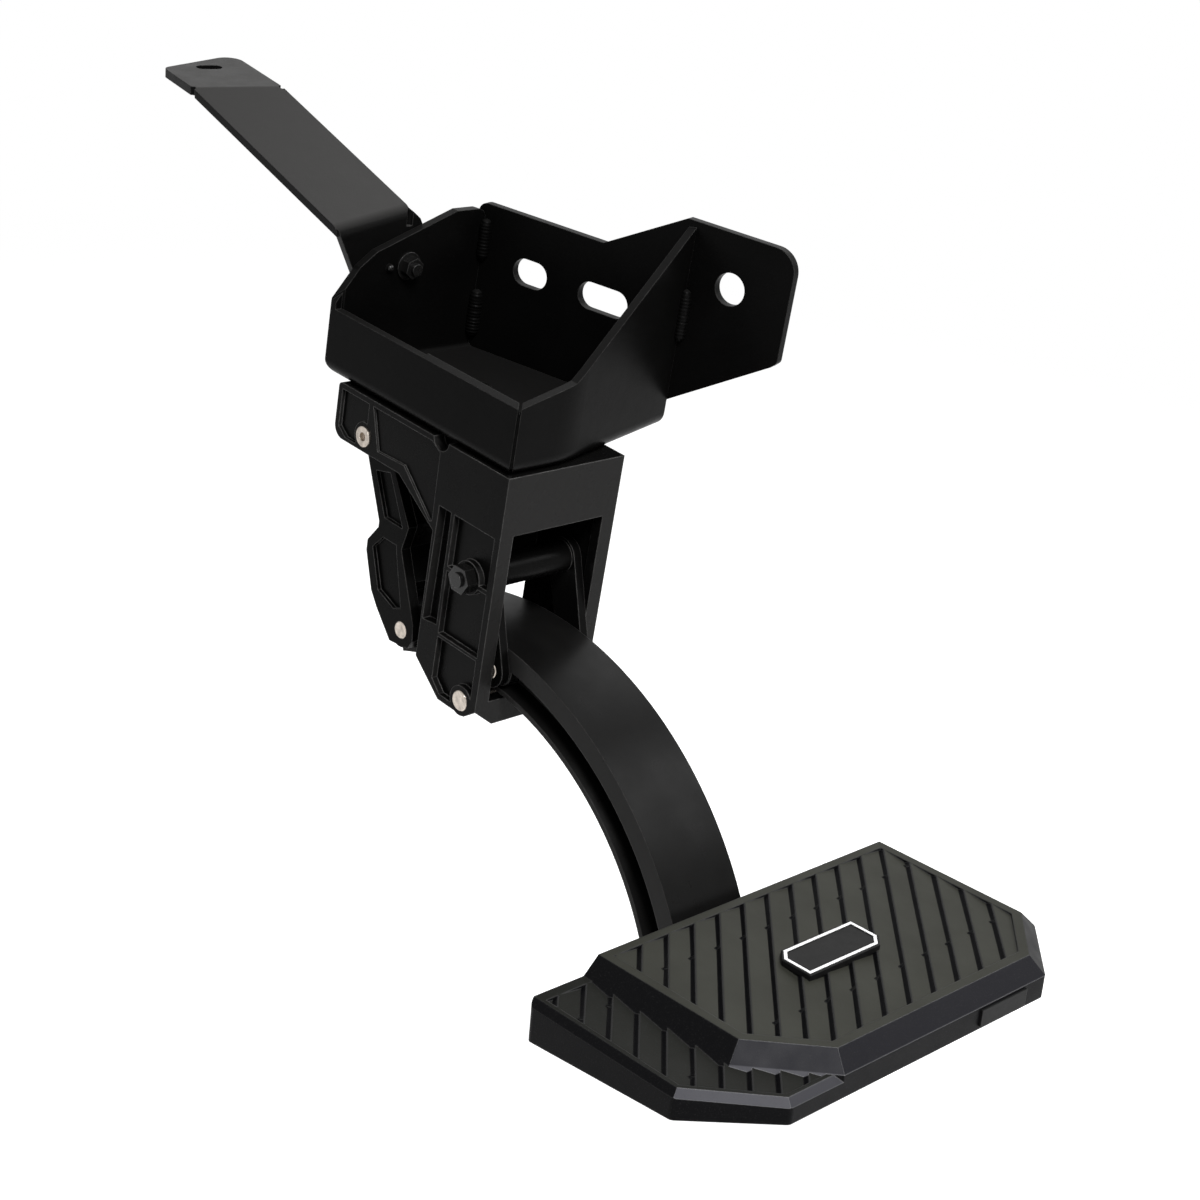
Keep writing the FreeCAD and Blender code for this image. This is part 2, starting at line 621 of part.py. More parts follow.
def make_back_plate():
    """Flat plate that bears on the vehicle: two slots, one round hole."""
    plate = body("back_plate")
    place(plate, plate_x, plate_y, 0, Z_AXIS, plate_skew - 90)
    high, low = plate_high, plate_front_low
    outline = [(-gauge, 0), (plate_lift, 0), (plate_length - 4, low - 4), (plate_length, low),
               (plate_length, high), (plate_crest, high), (plate_step, plate_valley),
               (-gauge, plate_valley)]
    outline = [(as_size(x), as_size(y)) for x, y in outline]
    sketch = sketch_on(plate, "XZ_Plane", 0, [outline],
                       [(hole_along, hole_up, hole_r)],
                       [(slot_short_along, slot_up, slot_short, slot_r),
                        (slot_long_along, slot_up, slot_long, slot_r)])
    pad(plate, sketch, gauge, reverse=True)
    names = edges_at(local_shape(plate), 1, [(plate_length, high)])
    dress(plate, "Fillet", names, plate_corner_r)
    names = edges_at(local_shape(plate), 1, [(plate_length, low), (plate_length - 4, low - 4)])
    dress(plate, "Fillet", names, plate_low_r)
    dress(plate, "Fillet", edges_at(local_shape(plate), 1, [(-gauge, plate_valley)]), wall_corner)
    return plate


def make_housing():
    """Cast housing: two ribbed side walls, a front wall with a tall window, a roof and a cross bar."""
    housing = body("housing")
    place(housing)
    side = [(0, 0), (housing_reach, 0), (housing_reach, -band), (leg + knee, -band),
            (leg, -band - knee * 0.6), (leg, -leg_drop + foot_cut * 0.74), (leg - foot_cut, -leg_drop),
            (toe, -leg_drop), (0, -leg_drop + toe * 0.8)]
    pad(housing, sketch_on(housing, "YZ_Plane", 0, [side]), housing_width, both=True)
    names = edges_at(local_shape(housing), 0, [(housing_reach, -band)])
    dress(housing, "Fillet", names, band_corner)
    names = edges_at(local_shape(housing), 0, [(housing_reach, 0)])
    dress(housing, "Fillet", names, roof_corner)

    behind = housing_reach + gauge
    hollow = [(face_wall, -roof), (behind, -roof), (behind, -chin_drop - gauge),
              (face_wall, -chin_drop - gauge)]
    pocket(housing, sketch_on(housing, "YZ_Plane", 0, [hollow]), inside * 2, both=True)

    opening_x = half_width - stile
    window = [(-opening_x, -window_top), (opening_x, -window_top), (opening_x, -window_low),
              (-opening_x, -window_low)]
    pocket(housing, sketch_on(housing, "XZ_Plane", 0, [window]), face_wall + gauge)

    chin_x = half_width - chin_in
    step_up = leg_drop - toe * 0.8
    bar = [(-inside, -window_low), (inside, -window_low), (half_width, -step_up), (chin_x, -chin_drop),
           (-chin_x, -chin_drop), (-half_width, -step_up)]
    pad(housing, sketch_on(housing, "XZ_Plane", 0, [bar]), chin, reverse=True)
    web = [(leg - back_web, -roof + 1), (leg, -roof + 1), (leg, -back_web_drop),
           (leg - back_web, -back_web_drop)]
    pad(housing, sketch_on(housing, "YZ_Plane", 0, [web]), inside * 2 + 1, both=True)

    pocket_top = window_top + 2
    deep = [(slot_front, -pocket_top), (leg - rim * 0.8, -pocket_top), (leg - rim * 0.4, -rib_low + 3),
            (slot_front - 0.5, -rib_low + 5)]
    deep_cut = pocket(housing, sketch_on(housing, "YZ_Plane", half_width, [deep]), pocket_deep * 1.5)
    main = [(rim * 1.4, -pocket_top), (slot_front - rim * 0.8, -pocket_top),
            (slot_front - rim * 0.8, -rib_low), (rim * 1.4, -rib_low)]
    main_cut = pocket(housing, sketch_on(housing, "YZ_Plane", half_width, [main],
                                         [(hub_y, hub_z, nut_boss_r)]), pocket_deep)
    low = [(rim * 1.5, -rib_low - rim * 0.6), (slot_front - rim * 0.8, -rib_low - rim * 0.6),
           (slot_front - rim * 0.8, -leg_drop + 12), (slot_front - rim * 3, -leg_drop + rim),
           (toe * 1.4, -leg_drop + rim), (rim * 1.5, -leg_drop + 11)]
    low_cut = pocket(housing, sketch_on(housing, "YZ_Plane", half_width, [low],), pocket_deep)
    low_boss = pad(housing, sketch_on(housing, "YZ_Plane", half_width, [],
                                      [(rest_pin_y, rest_pin_z, boss_r - 2)]),
                   pocket_deep * 1.2, reverse=True)
    nut_rib = [(rim, hub_z - rim), (rim, hub_z - rim * 0.2), (slot_front, hub_z - rim * 0.2),
               (slot_front, hub_z - rim)]
    rib_pad = pad(housing, sketch_on(housing, "YZ_Plane", half_width, [nut_rib]), pocket_deep * 1.2,
                  reverse=True)
    knee_z = -band - knee * 0.6
    front_panel = [(upper_y - boss_r / 2, -rim), (notch_y + notch_r * 1.2, -rim),
                   (leg + rim * 0.7, -notch_r * 1.2), (leg + rim / 2, knee_z + rim * 1.5),
                   (leg + rim * 1.1, knee_z + rim * 1.2), (leg + knee - rim, -band + rim * 1.8),
                   (upper_y - boss_r * 1.25, -band + rim * 1.5)]
    front_cut = pocket(housing, sketch_on(housing, "YZ_Plane", half_width, [front_panel]),
                       pocket_deep * 0.4)
    rear_panel = [(upper_y - rim / 2, -rim), (housing_reach - rim, -rim),
                  (housing_reach - rim, -band + rim * 2), (housing_reach - rim * 3, -band + rim * 0.6),
                  (upper_y + boss_r * 0.7, -band + rim * 0.6), (upper_y - rim / 2, upper_z + rim * 2)]
    rear_cut = pocket(housing, sketch_on(housing, "YZ_Plane", half_width, [rear_panel]),
                      pocket_deep * 0.6)
    upper_boss = pad(housing, sketch_on(housing, "YZ_Plane", half_width, [],
                                        [(upper_y, upper_z, boss_r - 2.5)]),
                     pocket_deep * 0.9, reverse=True)
    notch_cut = pocket(housing, sketch_on(housing, "YZ_Plane", half_width, [],
                                          [(notch_y, 0, notch_r)]), wall)
    mirror(housing, [deep_cut, main_cut, low_cut, low_boss, rib_pad, front_cut, rear_cut, upper_boss,
                     notch_cut])

    bores = [(upper_y, upper_z, pin_r + pin_play), (rest_pin_y, rest_pin_z, pin_r + pin_play),
             (hub_y, hub_z, bolt_r + pin_play)]
    for bore in bores:
        pocket(housing, sketch_on(housing, "YZ_Plane", 0, [], [bore]), housing_width + gauge, both=True)
    spots = [spot + (bolt_r + pin_play,) for spot in HOUSING_BOLTS]
    pocket(housing, sketch_on(housing, "XY_Plane", 0, [], spots), roof + 1)
    return housing


def make_rear_link():
    """Cast link of two dog-legged cheeks joined by two webs."""
    link = body("rear_link")
    place(link, 0, upper_y, upper_z)
    down_y, down_z = lower_y - upper_y, lower_z - upper_z
    cheek = [(13, 0), (-waist, -57.5), (-waist, -62), (-rear_hip, -75), (-rear_hip, -83),
             (-15, -109), (-22.5, -118.5), (down_y + 10, down_z - 12.5), (down_y - 9, down_z - 10),
             (down_y - 13, down_z - 3), (down_y - 11.5, down_z + 9), (-40.5, -68), (-45, -50),
             (-13, 0)]
    pad(link, sketch_on(link, "YZ_Plane", 0, [cheek]), rear_link_outer * 2, both=True)
    gap = [(40, 30), (40, -160), (-90, -160), (-90, 30)]
    pocket(link, sketch_on(link, "YZ_Plane", 0, [gap]), link_inner * 2, both=True)
    upper_eye = pad(link, sketch_on(link, "YZ_Plane", link_inner, [], [(0, 0, eye_r)]), rear_link_wall)
    lower_eye = pad(link, sketch_on(link, "YZ_Plane", link_inner, [], [(down_y, down_z, eye_r - 1)]),
                    rear_link_wall)
    upper_recess = [(-5, -24), (-waist - 5, -53), (-39, -53), (-20, -20)]
    lower_recess = [(-waist - 6, -67), (-rear_hip - 6, -78), (-22, -106), (-40, -112),
                    (down_y + 3, down_z + 15), (-36, -72), (-35, -67)]
    upper_cut = pocket(link, sketch_on(link, "YZ_Plane", rear_link_outer, [upper_recess]), 3)
    lower_cut = pocket(link, sketch_on(link, "YZ_Plane", rear_link_outer, [lower_recess]), 3)
    mirror(link, [upper_eye, lower_eye, upper_cut, lower_cut])
    web = [(1, -22), (-waist + 1, -54), (-waist - 5, -52), (-5, -19)]
    front_web = [(-27, -24), (-43.3, -50), (-39.3, -68), (-49.3, -90), (-46.5, -98), (-41.5, -96.5),
                 (-43.3, -90.5), (-33.3, -68), (-37.3, -51.5), (-22, -27)]
    for outline in (web, front_web):
        pad(link, sketch_on(link, "YZ_Plane", 0, [outline]), link_inner * 2 + 1, both=True)
    pocket(link, sketch_on(link, "YZ_Plane", 0, [], [(0, 0, upper_bush_r + pin_play)]),
           rear_link_outer * 3, both=True)
    pocket(link, sketch_on(link, "YZ_Plane", 0, [], [(down_y, down_z, link_pin_r + pin_play)]),
           rear_link_outer * 3, both=True)
    return link


def make_front_link():
    """Tube round the hub bolt with a cheek at each end that reaches down to the arm."""
    link = body("front_link")
    place(link, 0, hub_y, hub_z)
    down_y, down_z = front_y - hub_y, front_z - hub_z
    reach = hypotenuse(down_y, down_z)
    side_y, side_z = down_z / reach, -(down_y / reach)
    top_r = tube_r + 2
    low_r = link_pin_r + 6
    cheek = [(-side_y * top_r, -side_z * top_r), (side_y * top_r, side_z * top_r),
             (down_y + side_y * low_r, down_z + side_z * low_r),
             (down_y - side_y * low_r, down_z - side_z * low_r)]
    pad(link, sketch_on(link, "YZ_Plane", 0, [], [(0, 0, tube_r)]), front_link_outer * 2, both=True)
    pad(link, sketch_on(link, "YZ_Plane", 0, [], [(0, 0, top_r)]), front_link_outer * 2, both=True)
    pad(link, sketch_on(link, "YZ_Plane", 0, [cheek]), front_link_outer * 2, both=True)
    pad(link, sketch_on(link, "YZ_Plane", 0, [], [(down_y, down_z, low_r)]), front_link_outer * 2,
        both=True)
    slab = reach + low_r * 2
    around = [(-slab, -slab), (slab, -slab), (slab, slab), (-slab, slab)]
    pocket(link, sketch_on(link, "YZ_Plane", 0, [around], [(0, 0, tube_r)]), link_inner * 2, both=True)
    pocket(link, sketch_on(link, "YZ_Plane", 0, [], [(0, 0, bolt_r + pin_play + bush_wall + pin_play)]),
           front_link_outer * 3, both=True)
    pocket(link, sketch_on(link, "YZ_Plane", 0, [], [(down_y, down_z, link_pin_r + pin_play)]),
           front_link_outer * 3, both=True)
    return link


def make_arm():
    """Curved arm: a rectangular bar bent to an arc, with a long recess in each side."""
    arm = body("arm")
    place(arm, 0, arm_centre_y, arm_centre_z)

    def turn(kind, points):
        sketch = sketch_on(arm, "XZ_Plane", 0, [points])
        feature = arm.newObject(f"PartDesign::{kind}", kind)
        feature.Profile = sketch
        feature.ReferenceAxis = (sketch, ["H_Axis"])
        feature.Type = "TwoAngles"
        for name, angle in (("Angle", arm_sweep), ("Angle2", arm_tail)):
            setattr(feature, name, angle.value)
            feature.setExpression(name, f"{angle.text} * 1 deg")
        doc.recompute()
        return feature

    turn("Revolution", [(-arm_side, arm_inner), (arm_side, arm_inner), (arm_side, arm_outer),
                        (-arm_side, arm_outer)])
    low, high = arm_inner + arm_lip, arm_outer - arm_flange
    slant = arm_recess / 3
    floor_x = arm_side - arm_recess
    groove = turn("Groove", [(arm_side + 1, low), (arm_side + 1, high), (arm_side, high),
                             (floor_x, high - slant), (floor_x, low + slant), (arm_side, low)])
    mirror(arm, [groove])

    lower = (arm_middle * sine(lower_turn), arm_middle * cosine(lower_turn))
    front = (-(arm_middle * sine(front_turn)), arm_middle * cosine(front_turn))
    open_r = link_pin_r + swing_room
    for spot, radius in ((lower, bush_r + 3), (front, open_r + 3)):
        pad(arm, sketch_on(arm, "YZ_Plane", 0, [], [spot + (radius,)]), arm_width, both=True)
    for spot, radius in ((lower, bush_r + pin_play), (front, open_r)):
        pocket(arm, sketch_on(arm, "YZ_Plane", 0, [], [spot + (radius,)]), arm_width * 2, both=True)

    # the lower end is cut flush with the top of the foot plate
    turn_y, turn_z = cosine(sole_tilt), -(sine(sole_tilt))
    base_y, base_z = sole_y - arm_centre_y, sole_z - arm_centre_z
    far = arm_outer
    ahead = (base_y - turn_y * far, base_z - turn_z * far)
    behind = (base_y + turn_y * far, base_z + turn_z * far)
    cut = [ahead, behind, (behind[0], behind[1] - far), (ahead[0], ahead[1] - far)]
    pocket(arm, sketch_on(arm, "YZ_Plane", 0, [cut]), arm_width * 2, both=True)
    return arm


def make_foot():
    """Plate welded under the arm's end; it reaches forward under the step pad."""
    plate = body("arm_foot")
    place(plate, 0, sole_y, sole_z, X_AXIS, -sole_tilt)
    side = foot_width / 2
    narrow = side - 14
    outline = [(-arm_side, heel), (arm_side, heel), (side, 0), (side, -foot_reach + 14), (narrow, -foot_reach),
               (-narrow, -foot_reach), (-side, -foot_reach + 14), (-side, 0)]
    spots = [spot + (foot_bolt_r + pin_play,) for spot in FOOT_BOLTS]
    pad(plate, sketch_on(plate, "XY_Plane", 0, [outline], spots), foot, reverse=True)
    return plate


def make_carrier():
    """Flat base plate that closes the pad's underside and carries it on the foot plate."""
    plate = body("pad_carrier")
    place(plate, 0, sole_y, sole_z, X_AXIS, -sole_tilt)
    spots = [spot + (foot_bolt_r + pin_play,) for spot in FOOT_BOLTS]
    spots += [spot + (pad_screw_r + pin_play,) for spot in PAD_SCREWS]
    outline = footprint(shell)
    pad(plate, sketch_on(plate, "XY_Plane", 0, [outline], spots), carrier)
    return plate


def footprint(inset):
    """Outline of the pad from above, moved inwards by an inset."""
    corner = inset * 0.41
    return [(-pad_left + inset, -inset), (pad_right - inset, -inset),
            (pad_right - inset, -pad_depth + cut_right_y + corner),
            (pad_right - cut_right_x - corner, -pad_depth + inset),
            (-pad_left + cut_left + corner, -pad_depth + inset),
            (-pad_left + inset, -pad_depth + cut_left + corner)]


def deck_outline(inset, rear=0.0):
    """Outline of the raised deck at its foot, moved inwards by an inset."""
    left, right, front = -(deck_left + bevel) + inset, pad_right - inset, -pad_depth + inset
    corner = inset * 0.586
    return [(left, -as_size(rear)), (right, -as_size(rear)), (right, front + cut_right_y - corner),
            (right - cut_right_x + corner, front), (left + deck_cut - corner, front),
            (left, front + deck_cut - corner)]


def make_step_pad():
    """Moulded step pad: a lower level, a raised deck with bevelled sides, treads, ribs below."""
    shape = doc.addObject("PartDesign::Body", "step_pad_moulding")
    pad(shape, sketch_on(shape, "XY_Plane", -bevel, [footprint(as_size(0))]), pad_rear_thick - bevel,
        reverse=True)
    rise = tangent(sole_taper)
    under = [(gauge, -pad_rear_thick - gauge), (gauge, -pad_rear_thick - gauge * rise),
             (-pad_depth - gauge, -pad_rear_thick + (pad_depth + gauge) * rise),
             (-pad_depth - gauge, -pad_rear_thick - gauge)]
    pocket(shape, sketch_on(shape, "YZ_Plane", 0, [under]), (pad_left + pad_right) * 2, both=True)
    top = -bevel.value

    def outer_edge(edge):
        ends = [v.Point for v in (edge.Vertexes[0], edge.Vertexes[-1])]
        if any(abs(p.z - top) > 0.01 for p in ends):
            return False
        left_side = all(p.x < (cut_left - pad_left).value + 0.01 for p in ends)
        front_side = all(p.y < -pad_depth.value + 0.01 for p in ends)
        return front_side or (left_side and any(p.y < -0.01 for p in ends))

    dress(shape, "Chamfer", straight_edges(local_shape(shape), outer_edge), edge_bevel)
    pad(shape, sketch_on(shape, "XY_Plane", -bevel, [deck_outline(as_size(0))]), edge_bevel, reverse=True)
    loft = shape.newObject("PartDesign::AdditiveLoft", "Deck")
    loft.Profile = sketch_on(shape, "XY_Plane", -bevel, [deck_outline(as_size(0))])
    loft.Sections = [sketch_on(shape, "XY_Plane", 0, [deck_outline(bevel)])]
    loft.Ruled = True
    doc.recompute()
    place(shape, 0, pad_y, pad_z, X_AXIS, -deck_tilt)

    # upright corners are rounded over their whole height
    rounder = doc.addObject("PartDesign::Body", "step_pad_corners")
    pad(rounder, sketch_on(rounder, "XY_Plane", gauge, [footprint(as_size(0))]),
        pad_rear_thick + 2 * gauge, reverse=True)
    corners = [(-pad_left, 0), (-pad_left, -pad_depth + cut_left), (-pad_left + cut_left, -pad_depth),
               (pad_right - cut_right_x, -pad_depth), (pad_right, -pad_depth + cut_right_y),
               (pad_right, 0)]
    dress(rounder, "Fillet", edges_at(local_shape(rounder), 2, corners), pad_corner)
    place(rounder, 0, pad_y, pad_z, X_AXIS, -deck_tilt)
    rounded = hide_in("Common", shape, rounder)

    # the mould's core: the hollow below, with slots that leave the ribs and the screw posts
    core = doc.addObject("PartDesign::Body", "step_pad_core")
    below = -bevel - shell
    pad(core, sketch_on(core, "XY_Plane", below, [footprint(shell)]), pad_rear_thick, reverse=True)
    pad(core, sketch_on(core, "XY_Plane", below, [deck_outline(bevel, shell)]), bevel + shell - deck_wall)
    half_rib = rib / 2
    bars = [[(x - half_rib, 0), (x + half_rib, 0), (x + half_rib, -pad_depth), (x - half_rib, -pad_depth)]
            for x in (-pad_screw_x, -foot_bolt_x * 2, foot_bolt_x * 2, pad_screw_x)]
    middle = -(foot_bolt_rear + foot_bolt_front) / 2
    pocket(core, sketch_on(core, "XY_Plane", 0, bars), pad_rear_thick * 2)
    pocket(core, sketch_on(core, "XY_Plane", 0, [[(-pad_left, middle + half_rib),
                                                  (pad_right, middle + half_rib),
                                                  (pad_right, middle - half_rib),
                                                  (-pad_left, middle - half_rib)]]), pad_rear_thick * 2)
    posts = [spot + (post_r,) for spot in PAD_SCREWS]
    pocket(core, sketch_on(core, "XY_Plane", 0, [], posts), pad_rear_thick * 2)
    place(core, 0, pad_y, pad_z, X_AXIS, -deck_tilt)
    hollow = hide_in("Cut", rounded, core)

    # the base plate's seat, square to the underside
    seat = doc.addObject("PartDesign::Body", "step_pad_seat")
    pad(seat, sketch_on(seat, "XY_Plane", -gauge, [footprint(shell - plate_fit)]), gauge + carrier)
    place(seat, 0, sole_y, sole_z, X_AXIS, -sole_tilt)
    seated = hide_in("Cut", hollow, seat)

    treads = doc.addObject("Part::Feature", "treads")
    treads.Shape = tread_tool()
    place(treads, 0, pad_y, pad_z, X_AXIS, -deck_tilt)
    stepped = hide_in("Cut", seated, treads)
    pilots = doc.addObject("Part::Feature", "screw_pilots")
    pilots.Shape = Part.makeCompound([rod(as_size(x).value, as_size(y).value, -gauge,
                                          carrier + screw_bite + 1, pad_screw_r + pin_play)
                                      for x, y in PAD_SCREWS])
    place(pilots, 0, sole_y, sole_z, X_AXIS, -sole_tilt)
    return piece(hide_in("Cut", stepped, pilots), "step_pad")


def tread_tool():
    """What the treads take off both levels: a saw-tooth across the pad, kept off the borders."""
    deep, pitch, drop = tread_deep.value, tread_pitch.value, bevel.value
    reach = (pad_left + pad_right + pad_depth).value / math.sqrt(2)
    count = int(reach / pitch) + 1
    first = -tread_shift.value - count * pitch
    teeth = [(first, 2 * deep), (first, 0)]
    for number in range(1, 2 * count + 1):
        s = first + number * pitch
        teeth += [(s, -deep), (s, 0)]
    teeth[-1] = (teeth[-1][0], 2 * deep)
    along = Vector(1, 1, 0).normalize()
    step = Vector(1, -1, 0).normalize()
    corners = [step * s + Z_AXIS * z - along * reach for s, z in teeth]
    comb = Part.Face(Part.makePolygon(corners + corners[:1])).extrude(along * (2 * reach))
    deck = inset_prism(numbers(deck_outline(bevel)), tread_border.value, -deep, 2 * deep)
    level = inset_prism(numbers(footprint(as_size(0))), level_border.value, -drop - deep, 2 * deep)
    foot_wires = [Part.makePolygon([Vector(x, y, z) for x, y in points + points[:1]])
                  for points, z in ((numbers(deck_outline(-tread_deep * 2)), -drop - 2 * deep),
                                    (numbers(deck_outline(tread_deep * 2)), -drop + 2 * deep))]
    level = level.cut(Part.makeLoft(foot_wires, True, True))
    lowered = comb.copy()
    lowered.translate(Vector(0, 0, -drop))
    return Part.makeCompound([comb.common(deck), lowered.common(level)])


def numbers(points):
    """The plain values of an outline's points."""
    return [(as_size(x).value, as_size(y).value) for x, y in points]


def inset_prism(points, inset, low, height):
    """A prism over an outline that is moved inwards."""
    wire = Part.makePolygon([Vector(x, y, low) for x, y in points + points[:1]])
    face = Part.Face(wire)
    smaller = face.makeOffset2D(-inset)
    return smaller.extrude(Vector(0, 0, height))


def make_pins():
    """Pins, the stop rod and the hub bolt, each along X."""
    long_pin = half_width + proud

    upper = body("upper_pin")
    place(upper, 0, upper_y, upper_z)
    pad(upper, sketch_on(upper, "YZ_Plane", 0, [], [(0, 0, pin_r)]), long_pin * 2, both=True)
    recess = pocket(upper, sketch_on(upper, "YZ_Plane", long_pin, [], [(0, 0, dimple)]), 3)
    mirror(upper, [recess])

    for label, y, z, radius, half in (("stop_rod", rest_pin_y, rest_pin_z, pin_r, long_pin),
                                      ("lower_pin", lower_y, lower_z, link_pin_r, rear_link_outer + 0.5),
                                      ("front_pin", front_y, front_z, link_pin_r,
                                       front_link_outer + 0.4)):
        rod = body(label)
        place(rod, 0, y, z)
        pad(rod, sketch_on(rod, "YZ_Plane", 0, [], [(0, 0, radius)]), half * 2, both=True)
        rims = [f"Edge{i}" for i, e in enumerate(local_shape(rod).Edges, 1)
                if isinstance(e.Curve, Part.Circle)]
        dress(rod, "Chamfer", rims, 0.6)


def hexagon(across_flats, turn=0.0):
    """Corners of a hexagon, from its size across flats."""
    corner = across_flats / (2 * math.cos(math.pi / 6))
    return [(corner * math.cos(math.radians(60 * k + turn)), corner * math.sin(math.radians(60 * k + turn)))
            for k in range(6)]


def make_hub_bolt():
    """Bolt through both side walls and the front link's tube, head on the right, nut on the left."""
    seat = half_width
    bolt = body("hub_bolt")
    place(bolt, 0, hub_y, hub_z)
    thread_end = seat + 10
    pad(bolt, sketch_on(bolt, "YZ_Plane", seat, [], [(0, 0, bolt_r)]), seat + thread_end, reverse=True)
    pad(bolt, sketch_on(bolt, "YZ_Plane", seat, [hexagon(hub_head)]), 6.5)
    nut = body("hub_nut")
    place(nut, 0, hub_y, hub_z)
    pad(nut, sketch_on(nut, "YZ_Plane", -seat, [hexagon(hub_head)], [(0, 0, bolt_r + pin_play)]), 8,
        reverse=True)


def make_strap():
    """Flat bar: a leg on the rear wall, a long run up to the rear, and an end tab with a slot."""
    thick = gauge.value
    tilt = math.radians(strap_tilt.value)
    slope = math.radians(strap_slope.value)
    side = Vector(math.cos(tilt), 0, math.sin(tilt))
    up = Vector(-math.sin(tilt), 0, math.cos(tilt))
    run = Y_AXIS * math.cos(slope) + up * math.sin(slope)
    left0 = Vector(tray_left.value, tray_depth.value, strap_up.value)
    right0 = left0 + side * strap_width.value
    left1 = left0 + run * strap_left.value
    right1 = right0 + run * strap_right.value

    def slab(points, direction):
        return Part.Face(Part.makePolygon(points + points[:1])).extrude(direction * thick)

    bolt_spot = Vector((tray_left + strap_bolt_x).value, tray_depth.value, strap_bolt_up.value)
    lean = math.radians(strap_lean.value)
    down_leg = Vector(math.sin(lean), 0, -math.cos(lean))
    cross_leg = Vector(math.cos(lean), 0, math.sin(lean))
    foot_left = left0 + down_leg * strap_leg.value
    foot_right = foot_left + cross_leg * (strap_width.value + 1)
    shoulder = right0 + side * 8 - up * 9
    leg_part = slab([left0, right0, shoulder, foot_right, foot_left], Y_AXIS)
    below = side.cross(run)
    below = below if below.z < 0 else below * -1
    run_part = slab([left0, right0, right1, left1], below)
    across_tab = (right1 - left1).normalize()
    turn = math.radians(strap_tab_turn.value)
    ahead = Vector(math.sin(turn), math.cos(turn), 0)
    tip_left = left1 + ahead * strap_tab_left.value
    tip_right = right1 + ahead * strap_tab_right.value
    down = across_tab.cross(ahead).normalize() * -1
    tab_part = slab([left1, right1, tip_right, tip_left], down)
    whole = leg_part.fuse([run_part, tab_part]).removeSplitter()

    def near(edge, a, b):
        middle = edge.valueAt((edge.FirstParameter + edge.LastParameter) / 2)
        return middle.distanceToPoint((a + b) / 2) < 2

    def rounded(solid, a, b, radius):
        found = [e for e in solid.Edges if near(e, a, b)]
        return solid.makeFillet(radius, found) if found else solid

    whole = rounded(whole, left0, right0, strap_bend.value)
    whole = rounded(whole, left1, right1, strap_bend.value)
    for tip, radius in ((tip_left, 7), (tip_right, 11)):
        uprights = [e for e in whole.Edges if isinstance(e.Curve, Part.Line)
                    and abs(e.Length - thick) < 0.01 and e.CenterOfMass.distanceToPoint(tip) < thick]
        whole = whole.makeFillet(radius, uprights)

    def slot_tool(centre, along, normal, length, radius):
        reach = length / 2 - radius
        ends = [centre + along * reach, centre - along * reach]
        sideways = along.cross(normal) * radius
        block = Part.Face(Part.makePolygon([ends[0] + sideways, ends[0] - sideways, ends[1] - sideways,
                                            ends[1] + sideways, ends[0] + sideways]))
        block = block.extrude(normal * thick * 4).translated(normal * -thick * 2)
        rounds = [Part.makeCylinder(radius, thick * 4, p - normal * thick * 2, normal) for p in ends]
        return block.fuse(rounds)

    centre = left1 + across_tab * (strap_width.value * 0.54) + ahead * strap_tab_left.value
    whole = whole.cut(slot_tool(centre, across_tab, down, strap_slot_long.value, strap_slot_r.value))
    hole = strap_bolt_r.value + pin_play.value
    whole = whole.cut(Part.makeCylinder(hole, thick * 4, bolt_spot - Y_AXIS * thick * 2, Y_AXIS))
    pin_spot = Vector((tray_left + strap_pin_x).value, tray_depth.value, strap_bolt_up.value)
    pin_hole = strap_pin_r.value + pin_play.value
    whole = whole.cut(Part.makeCylinder(pin_hole, thick * 4, pin_spot - Y_AXIS * thick * 2, Y_AXIS))
    for corner in (left0, right0, left1, right1):
        notch = Part.makeCylinder(2.5, thick * 4, corner - Z_AXIS * thick * 2, Z_AXIS)
        whole = whole.cut(notch)
    strap = doc.addObject("Part::Feature", "support_strap")
    strap.Shape = whole
    place(strap)
    return piece(strap, "support_strap")


def make_strap_bolt():
    """Bolt, washer and nut that clamp the strap to the tray's rear wall."""
    spot_x = tray_left + strap_bolt_x
    outside = tray_depth + gauge
    washer_thick = 1.6
    bolt = body("strap_bolt")
    place(bolt, spot_x, outside, strap_bolt_up)
    pad(bolt, sketch_on(bolt, "XZ_Plane", -washer_thick, [hexagon(strap_head)]), 5.3, reverse=True)
    pad(bolt, sketch_on(bolt, "XZ_Plane", -washer_thick, [], [(0, 0, strap_bolt_r)]),
        washer_thick + 2 * gauge + 11)
    washer = body("strap_washer")
    place(washer, spot_x, outside, strap_bolt_up)
    pad(washer, sketch_on(washer, "XZ_Plane", 0, [], [(0, 0, strap_bolt_r * 2), (0, 0, strap_bolt_r
                                                                                  + pin_play)]),
        washer_thick, reverse=True)
    inner = body("strap_inner_washer")
    place(inner, spot_x, plate_y, strap_bolt_up)
    pad(inner, sketch_on(inner, "XZ_Plane", 0, [], [(0, 0, strap_bolt_r * 2.4),
                                                    (0, 0, strap_bolt_r + pin_play)]), washer_thick)
    pin = body("strap_pin")
    place(pin, tray_left + strap_pin_x, outside, strap_bolt_up)
    pad(pin, sketch_on(pin, "XZ_Plane", 0, [], [(0, 0, strap_pin_r)]), 2 * gauge + 3.5)
    ends = [f"Edge{i}" for i, e in enumerate(local_shape(pin).Edges, 1)
            if isinstance(e.Curve, Part.Circle) and e.CenterOfMass.y < -gauge.value]
    dress(pin, "Fillet", ends, 2)
    nut = body("strap_nut")
    place(nut, spot_x, plate_y - washer_thick, strap_bolt_up)
    pad(nut, sketch_on(nut, "XZ_Plane", 0, [hexagon(strap_head, 20)], [(0, 0, strap_bolt_r + pin_play)]), 6.5)


